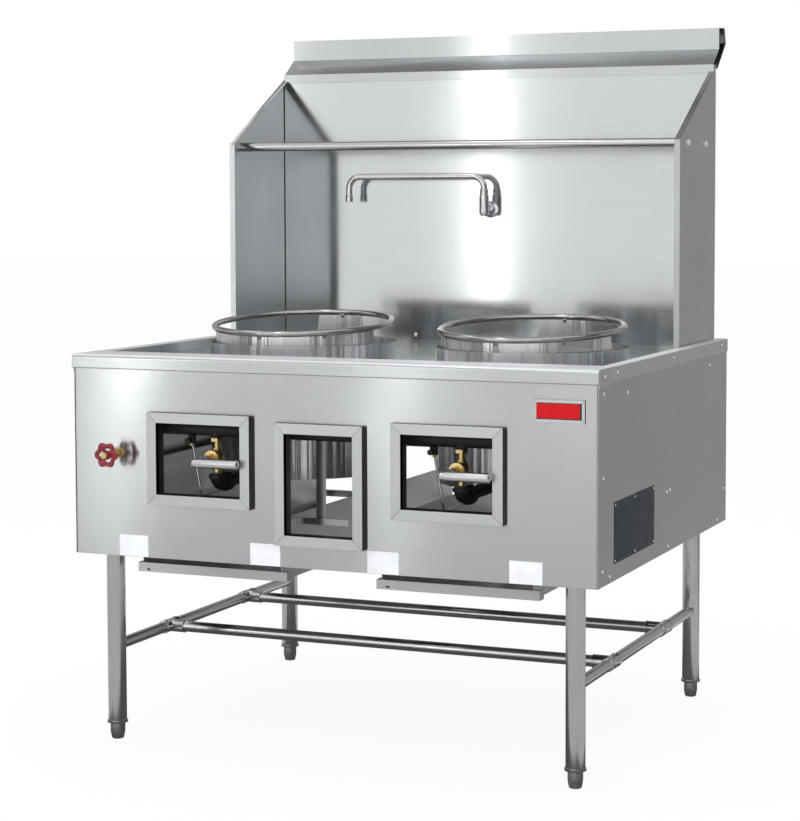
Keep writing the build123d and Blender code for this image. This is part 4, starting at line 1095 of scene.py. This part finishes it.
for side, sx in SIDES:
    for end in ("front", "rear"):
        node = f"foot_{end}_{side}"
        low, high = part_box(node)
        middle = (low + high) / 2
        piece = lathe(
            "bullet_" + node, BULLET, (middle.x, middle.y, low.z), (0, 0, 1), foot_metal, 48,
            spanner_flats, 28.0,
        )
        stand_for(piece, node, node)

rail_z = (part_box("cross_rails")[0].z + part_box("cross_rails")[1].z) / 2
parts = []
for low, high in islands("rail_tees"):
    middle_y = (low.y + high.y) / 2
    sx = 1 if low.x + high.x > 0 else -1
    leg_x = (high.x if sx > 0 else low.x) - sx * 0.0150
    sleeve = (
        (0.0135, -0.03), (0.0146, -0.03), (0.0152, -0.0292), (0.0152, -0.027), (0.0148, -0.026),
        (0.0148, 0.026), (0.0152, 0.027), (0.0152, 0.0292), (0.0146, 0.03), (0.0135, 0.03),
    )
    stub = (
        (0.0135, 0.008), (0.0148, 0.008), (0.0148, 0.038), (0.0152, 0.039), (0.0152, 0.0412),
        (0.0146, 0.042), (0.0135, 0.042),
    )
    parts.append(lathe("sleeve", sleeve, (leg_x, middle_y, rail_z), (0, 1, 0), side_rail_steel, 36))
    parts.append(lathe("stub", stub, (leg_x, middle_y, rail_z), (-sx, 0, 0), rail_steel, 36))
    screw = ((0.0, 0.0), (0.0032, 0.0), (0.0032, 0.0014), (0.0022, 0.0022), (0.0, 0.0024))
    for offset in (-0.02, 0.02):
        spot = (leg_x, middle_y + offset, rail_z + 0.0146)
        parts.append(lathe("grub", screw, spot, (0, 0, 1), screw_steel, 16))
stand_for(joined("rail_clamps", parts), "rail_tees")


# =====================================================================
# window frames and name bezel: four bars mitred at the corners
# =====================================================================

MITRE_GAP = 0.0004


def mitred_frame(name, low, high, bar, across, upright):
    """Four mitred bars round an opening, with a dark core that shows in the joints; the bars' side faces are
    painted dark as shade.
    """
    parts = []
    corners = [Vector(spot) for spot in ((low.x, low.z), (high.x, low.z), (high.x, high.z), (low.x, high.z))]
    middle = (corners[0] + corners[2]) / 2

    def shrunk(by):
        """The four corners moved in by this much on both axes."""
        return [
            Vector([part - math.copysign(by, part - half) for part, half in zip(spot, middle)])
            for spot in corners
        ]

    inner = shrunk(bar)
    core_outer, core_inner = shrunk(0.0009), shrunk(bar - 0.0009)
    depth = high.y - low.y
    for index in range(4):
        after = (index + 1) % 4
        along = (corners[after] - corners[index]).normalized() * MITRE_GAP
        outline = [
            (spot.x, low.y, spot.y) for spot in (
                corners[index] + along, corners[after] - along, inner[after] - along, inner[index] + along,
            )
        ]
        piece = plate("bar", outline, (0, 1, 0), depth, upright if index % 2 else across)
        piece.data.materials.append(dark_joint_and_painted_shade)
        # Painted shade: the bars' side faces take the dark finish instead of steel.
        for face in piece.data.polygons:
            if abs(face.normal.y) < 0.3:
                face.material_index = 1
        parts.append(piece)
        outline = [
            (spot.x, low.y + depth * 0.08, spot.y)
            for spot in (core_outer[index], core_outer[after], core_inner[after], core_inner[index])
        ]
        parts.append(plate("core", outline, (0, 1, 0), depth * 0.9, dark_joint_and_painted_shade))
    return joined(name, parts)


for name in ("left", "middle", "right"):
    node = "window_frame_" + name
    frame_piece = mitred_frame("mitred_frame_" + name, *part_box(node), 0.0225, frame_steel, upright_steel)
    stand_for(frame_piece, node)

low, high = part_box("name_bezel")
field_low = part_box("name_field")[0]
bezel = mitred_frame("bezel_bars", low, high, field_low.x - low.x, frame_steel, upright_steel)
outline = [
    (x, low.y + 0.001, z)
    for x, z in ((low.x, low.z), (high.x, low.z), (high.x, high.z), (low.x, high.z))
]
backing = plate("backing", outline, (0, 1, 0), high.y - low.y - 0.001, dark_joint_and_painted_shade)
stand_for(joined("name_surround", [bezel, backing]), "name_bezel")


# =====================================================================
# screws, bolts, plates and labels
# =====================================================================

def pan_head(radius, tall, origin, direction, material):
    """A pan head with a shallow cross recess."""
    profile = [(0.0, -0.0004), (radius, -0.0004), (radius, tall * 0.3)]
    profile += [
        (radius * math.cos(angle), tall * (0.3 + 0.7 * math.sin(angle)))
        for angle in (math.radians(18 * step) for step in range(1, 4))
    ]
    profile += [(radius * 0.36, tall), (radius * 0.3, tall * 0.62), (0.0, tall * 0.5)]

    def cross(angle, reach):
        if reach > radius * 0.33:
            return reach
        return reach * (1.5 if math.cos(4 * angle) > 0 else 0.45)

    return lathe("head", profile, origin, direction, material, 32, cross, 30.0)


parts = []
for low, high in islands("panel_screws"):
    middle = (low + high) / 2
    sx = 1 if middle.x > 0 else -1
    base = low.x if sx > 0 else high.x
    parts.append(pan_head(0.0047, abs(high.x - low.x), (base, middle.y, middle.z), (sx, 0, 0), screw_steel))
    # A flat dark ring just under each head: a painted shadow round the screw.
    parts.append(plain_rod(
        "painted_shadow_ring", 0.0058, -0.0004, 0.0002, (base, middle.y, middle.z), (sx, 0, 0), dark_joint_and_painted_shade, 24,
    ))
stand_for(joined("pan_heads", parts), "panel_screws")

parts = []
for low, high in islands("splash_bolts"):
    middle = (low + high) / 2
    if high.y - low.y > high.x - low.x:
        sx = 1 if middle.x > 0 else -1
        base = low.x if sx > 0 else high.x
        parts.append(lathe(
            "washer", ((0.0, -0.0004), (0.0078, -0.0004), (0.0082, 0.0004), (0.0078, 0.0012), (0.0, 0.0012)),
            (base, middle.y, middle.z), (sx, 0, 0), screw_steel, 32,
        ))
        parts.append(hex_nut(
            "bolt", 0.0105, 0.001, 0.0045, (base, middle.y, middle.z), (sx, 0, 0), screw_steel, 0.4,
        ))
    else:
        dome = [(0.0, -0.0004)] + [
            (0.0056 * math.cos(angle), 0.0035 * math.sin(angle))
            for angle in (math.radians(15 * step) for step in range(7))
        ]
        parts.append(lathe("stud", dome, (middle.x, high.y, middle.z), (0, -1, 0), screw_steel, 32))
        # A flat dark ring just under each stud: a painted shadow round it.
        parts.append(plain_rod(
            "painted_shadow_ring", 0.0068, -0.0004, 0.0002, (middle.x, high.y, middle.z), (0, -1, 0), dark_joint_and_painted_shade, 24,
        ))
stand_for(joined("splash_fixings", parts), "splash_bolts")

low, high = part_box("rating_plate")
parts = [plate(
    "plate", ((low.x, low.y, low.z), (low.x, high.y, low.z), (low.x, high.y, high.z), (low.x, low.y, high.z)),
    (1, 0, 0), 0.0008, plate_dark, 0.0003,
)]
RIVET_R = 0.0026
RIVET_INSET = 0.006     # from the plate's edge to a rivet
rivet = [(0.0, 0.0004), (RIVET_R, 0.0004)] + [
    (RIVET_R * math.cos(angle), 0.0006 + 0.0013 * math.sin(angle))
    for angle in (math.radians(18 * step) for step in range(6))
]
for y in (low.y + RIVET_INSET, (low.y + high.y) / 2, high.y - RIVET_INSET):
    for z in (low.z + RIVET_INSET, high.z - RIVET_INSET):
        parts.append(lathe("rivet", rivet, (low.x, y, z), (1, 0, 0), screw_steel, 20))
stand_for(joined("dark_plate", parts), "rating_plate")


# =====================================================================
# stage: floor, backdrop light and camera
# =====================================================================

def background_mix(tree, shader, share):
    """Shows white to the camera and in reflections, and the given shader to all other rays."""
    rays = tree.nodes.new("ShaderNodeLightPath")
    seen = maths(tree, "ADD", rays.outputs["Is Camera Ray"], rays.outputs["Is Glossy Ray"])
    seen = maths(tree, "ADD", seen, rays.outputs["Is Transmission Ray"])
    seen = maths(tree, "MINIMUM", seen, 1.0)
    mix = tree.nodes.new("ShaderNodeMixShader")
    tree.links.new(maths(tree, "MULTIPLY", seen, share), mix.inputs["Fac"])
    tree.links.new(shader, mix.inputs[1])
    return mix


def pale_floor():
    bm = bmesh.new()
    bmesh.ops.create_grid(bm, x_segments=8, y_segments=8, size=30)
    material = bpy.data.materials.new("floor_white")
    material.use_nodes = True
    tree = material.node_tree
    shader = tree.nodes["Principled BSDF"]
    shader.inputs["Base Color"].default_value = (0.86, 0.86, 0.86, 1)
    shader.inputs["Roughness"].default_value = 0.9
    shader.inputs["Specular IOR Level"].default_value = 0.0
    mix = background_mix(tree, shader.outputs[0], 0.93)
    white = tree.nodes.new("ShaderNodeEmission")
    white.inputs["Color"].default_value = (1, 1, 1, 1)
    white.inputs["Strength"].default_value = 1.0
    tree.links.new(white.outputs[0], mix.inputs[2])
    tree.links.new(mix.outputs[0], tree.nodes["Material Output"].inputs["Surface"])
    floor = finish_mesh(bm, "floor", material)
    floor.location.z = -0.0005


def world_light():
    world = bpy.data.worlds.new("studio")
    bpy.context.scene.world = world
    world.use_nodes = True
    tree = world.node_tree
    room = tree.nodes["Background"]
    room.inputs["Color"].default_value = (0.93, 0.96, 1.0, 1)
    room.inputs["Strength"].default_value = 0.95
    mix = background_mix(tree, room.outputs[0], 1.0)
    white = tree.nodes.new("ShaderNodeBackground")
    white.inputs["Color"].default_value = (1, 1, 1, 1)
    tree.links.new(white.outputs[0], mix.inputs[2])
    tree.links.new(mix.outputs[0], tree.nodes["World Output"].inputs["Surface"])


def card(name, centre, facing, width, height, level):
    """A studio card that only shows in reflections."""
    bm = bmesh.new()
    bmesh.ops.create_grid(bm, x_segments=4, y_segments=4, size=0.5)
    material = bpy.data.materials.new(name)
    material.use_nodes = True
    tree = material.node_tree
    tree.nodes.remove(tree.nodes["Principled BSDF"])
    glow = tree.nodes.new("ShaderNodeEmission")
    glow.inputs["Color"].default_value = (level, level, level, 1)
    tree.links.new(glow.outputs[0], tree.nodes["Material Output"].inputs["Surface"])
    made = finish_mesh(bm, name, material)
    place = axis_matrix(centre, facing, (0, 1, 0) if facing[2] else (0, 0, 1))
    made.matrix_world = place @ Matrix.Diagonal((height, width, 1, 1))
    made.visible_camera = False
    made.visible_diffuse = False
    made.visible_shadow = False


def lamp(name, place, target, width, height, watts):
    data = bpy.data.lights.new(name, "AREA")
    data.shape = "RECTANGLE"
    data.size = width
    data.size_y = height
    data.energy = watts
    made = bpy.data.objects.new(name, data)
    bpy.context.scene.collection.objects.link(made)
    made.matrix_world = axis_matrix(place, Vector(place) - Vector(target), (1, 0, 0))
    made.visible_glossy = False


def photo_camera():
    """Camera solved from the photograph; the angles are in radians and the focal length in pixels."""
    image_width = 800
    place = Vector((1.93553, -4.54776, 1.22095))
    yaw, pitch, roll, focal, shift_x, shift_y = 0.3896, -0.0641, -0.0018, 2128.88, -0.0565, -0.10
    forward = Vector((-math.sin(yaw) * math.cos(pitch), math.cos(yaw) * math.cos(pitch), math.sin(pitch)))
    level = Vector((math.cos(yaw), math.sin(yaw), 0))
    up = level.cross(forward)
    right = level * math.cos(roll) + up * math.sin(roll)
    top = up * math.cos(roll) - level * math.sin(roll)
    data = bpy.data.cameras.new("photo_camera")
    data.sensor_fit = "HORIZONTAL"
    data.sensor_width = 36.0
    data.lens = focal / image_width * 36.0
    data.shift_x = shift_x
    data.shift_y = shift_y
    data.clip_end = 200
    made = bpy.data.objects.new("photo_camera", data)
    bpy.context.scene.collection.objects.link(made)
    turn = Matrix((right, top, -forward)).transposed().to_4x4()
    made.matrix_world = Matrix.Translation(place) @ turn
    bpy.context.scene.camera = made


pale_floor()
world_light()
photo_camera()
card("wall_front", (-1.0, -13.0, 3.0), (0, 1, 0), 20.0, 6.4, 1.1)
card("strip_one", (-4.7, -11.7, 2.6), (0.3, 1, 0), 0.2, 5.2, 5.0)
card("strip_two", (-7.2, -11.7, 2.6), (0.5, 1, 0), 0.16, 5.2, 9.0)
card("strip_ceiling", (-1.4, -3.2, 5.3), (0, 0, -1), 0.4, 7.0, 3.0)
card("glow_back_left", (-3.3, 1.9, 5.3), (0, 0, -1), 0.9, 2.4, 1.8)
card("wall_left_near", (-10.5, 1.5, 2.6), (1, 0, 0), 13.0, 6.0, 0.5)
card("wall_left_far", (-10.5, -9.0, 2.6), (1, 0, 0), 8.0, 6.0, 0.12)
card("wall_right_near", (8.0, -1.5, 2.6), (-1, 0, 0), 8.0, 6.0, 0.12)
card("wall_right_far", (8.0, -9.5, 2.6), (-1, 0, 0), 8.0, 6.0, 0.5)
card("wall_right_back", (8.0, 5.4, 2.6), (-1, 0, 0), 5.8, 6.0, 0.38)
card("wall_back", (-1.0, 8.0, 2.6), (0, -1, 0), 20.0, 6.4, 0.36)
card("ceiling_front", (-1.0, -6.2, 5.6), (0, 0, -1), 22.0, 13.6, 0.8)
card("ceiling_back", (-1.0, 4.6, 5.6), (0, 0, -1), 22.0, 8.0, 0.2)
card("floor_under", (0.0, 0.0, -0.0001), (0, 0, 1), 1.5, 1.4, 0.1)
card("floor_back_right", (4.5, 4.6, -0.0001), (0, 0, 1), 7.0, 7.0, 0.34)
card("floor_near", (-1.0, 2.0, -0.0003), (0, 0, 1), 20.0, 13.0, 0.55)
card("floor_far", (-1.0, -8.75, -0.0002), (0, 0, 1), 20.0, 8.5, 1.02)
lamp("lamp_key", (-2.4, -3.4, 3.4), (0, 0, 0.8), 2.6, 1.8, 40)
lamp("lamp_fill", (3.4, -2.6, 2.6), (0, 0, 0.8), 2.4, 1.8, 10)
lamp("lamp_top", (0.0, 0.4, 4.2), (0, 0, 0.8), 3.0, 3.0, 60)

scene = bpy.context.scene
scene.view_settings.view_transform = "Standard"
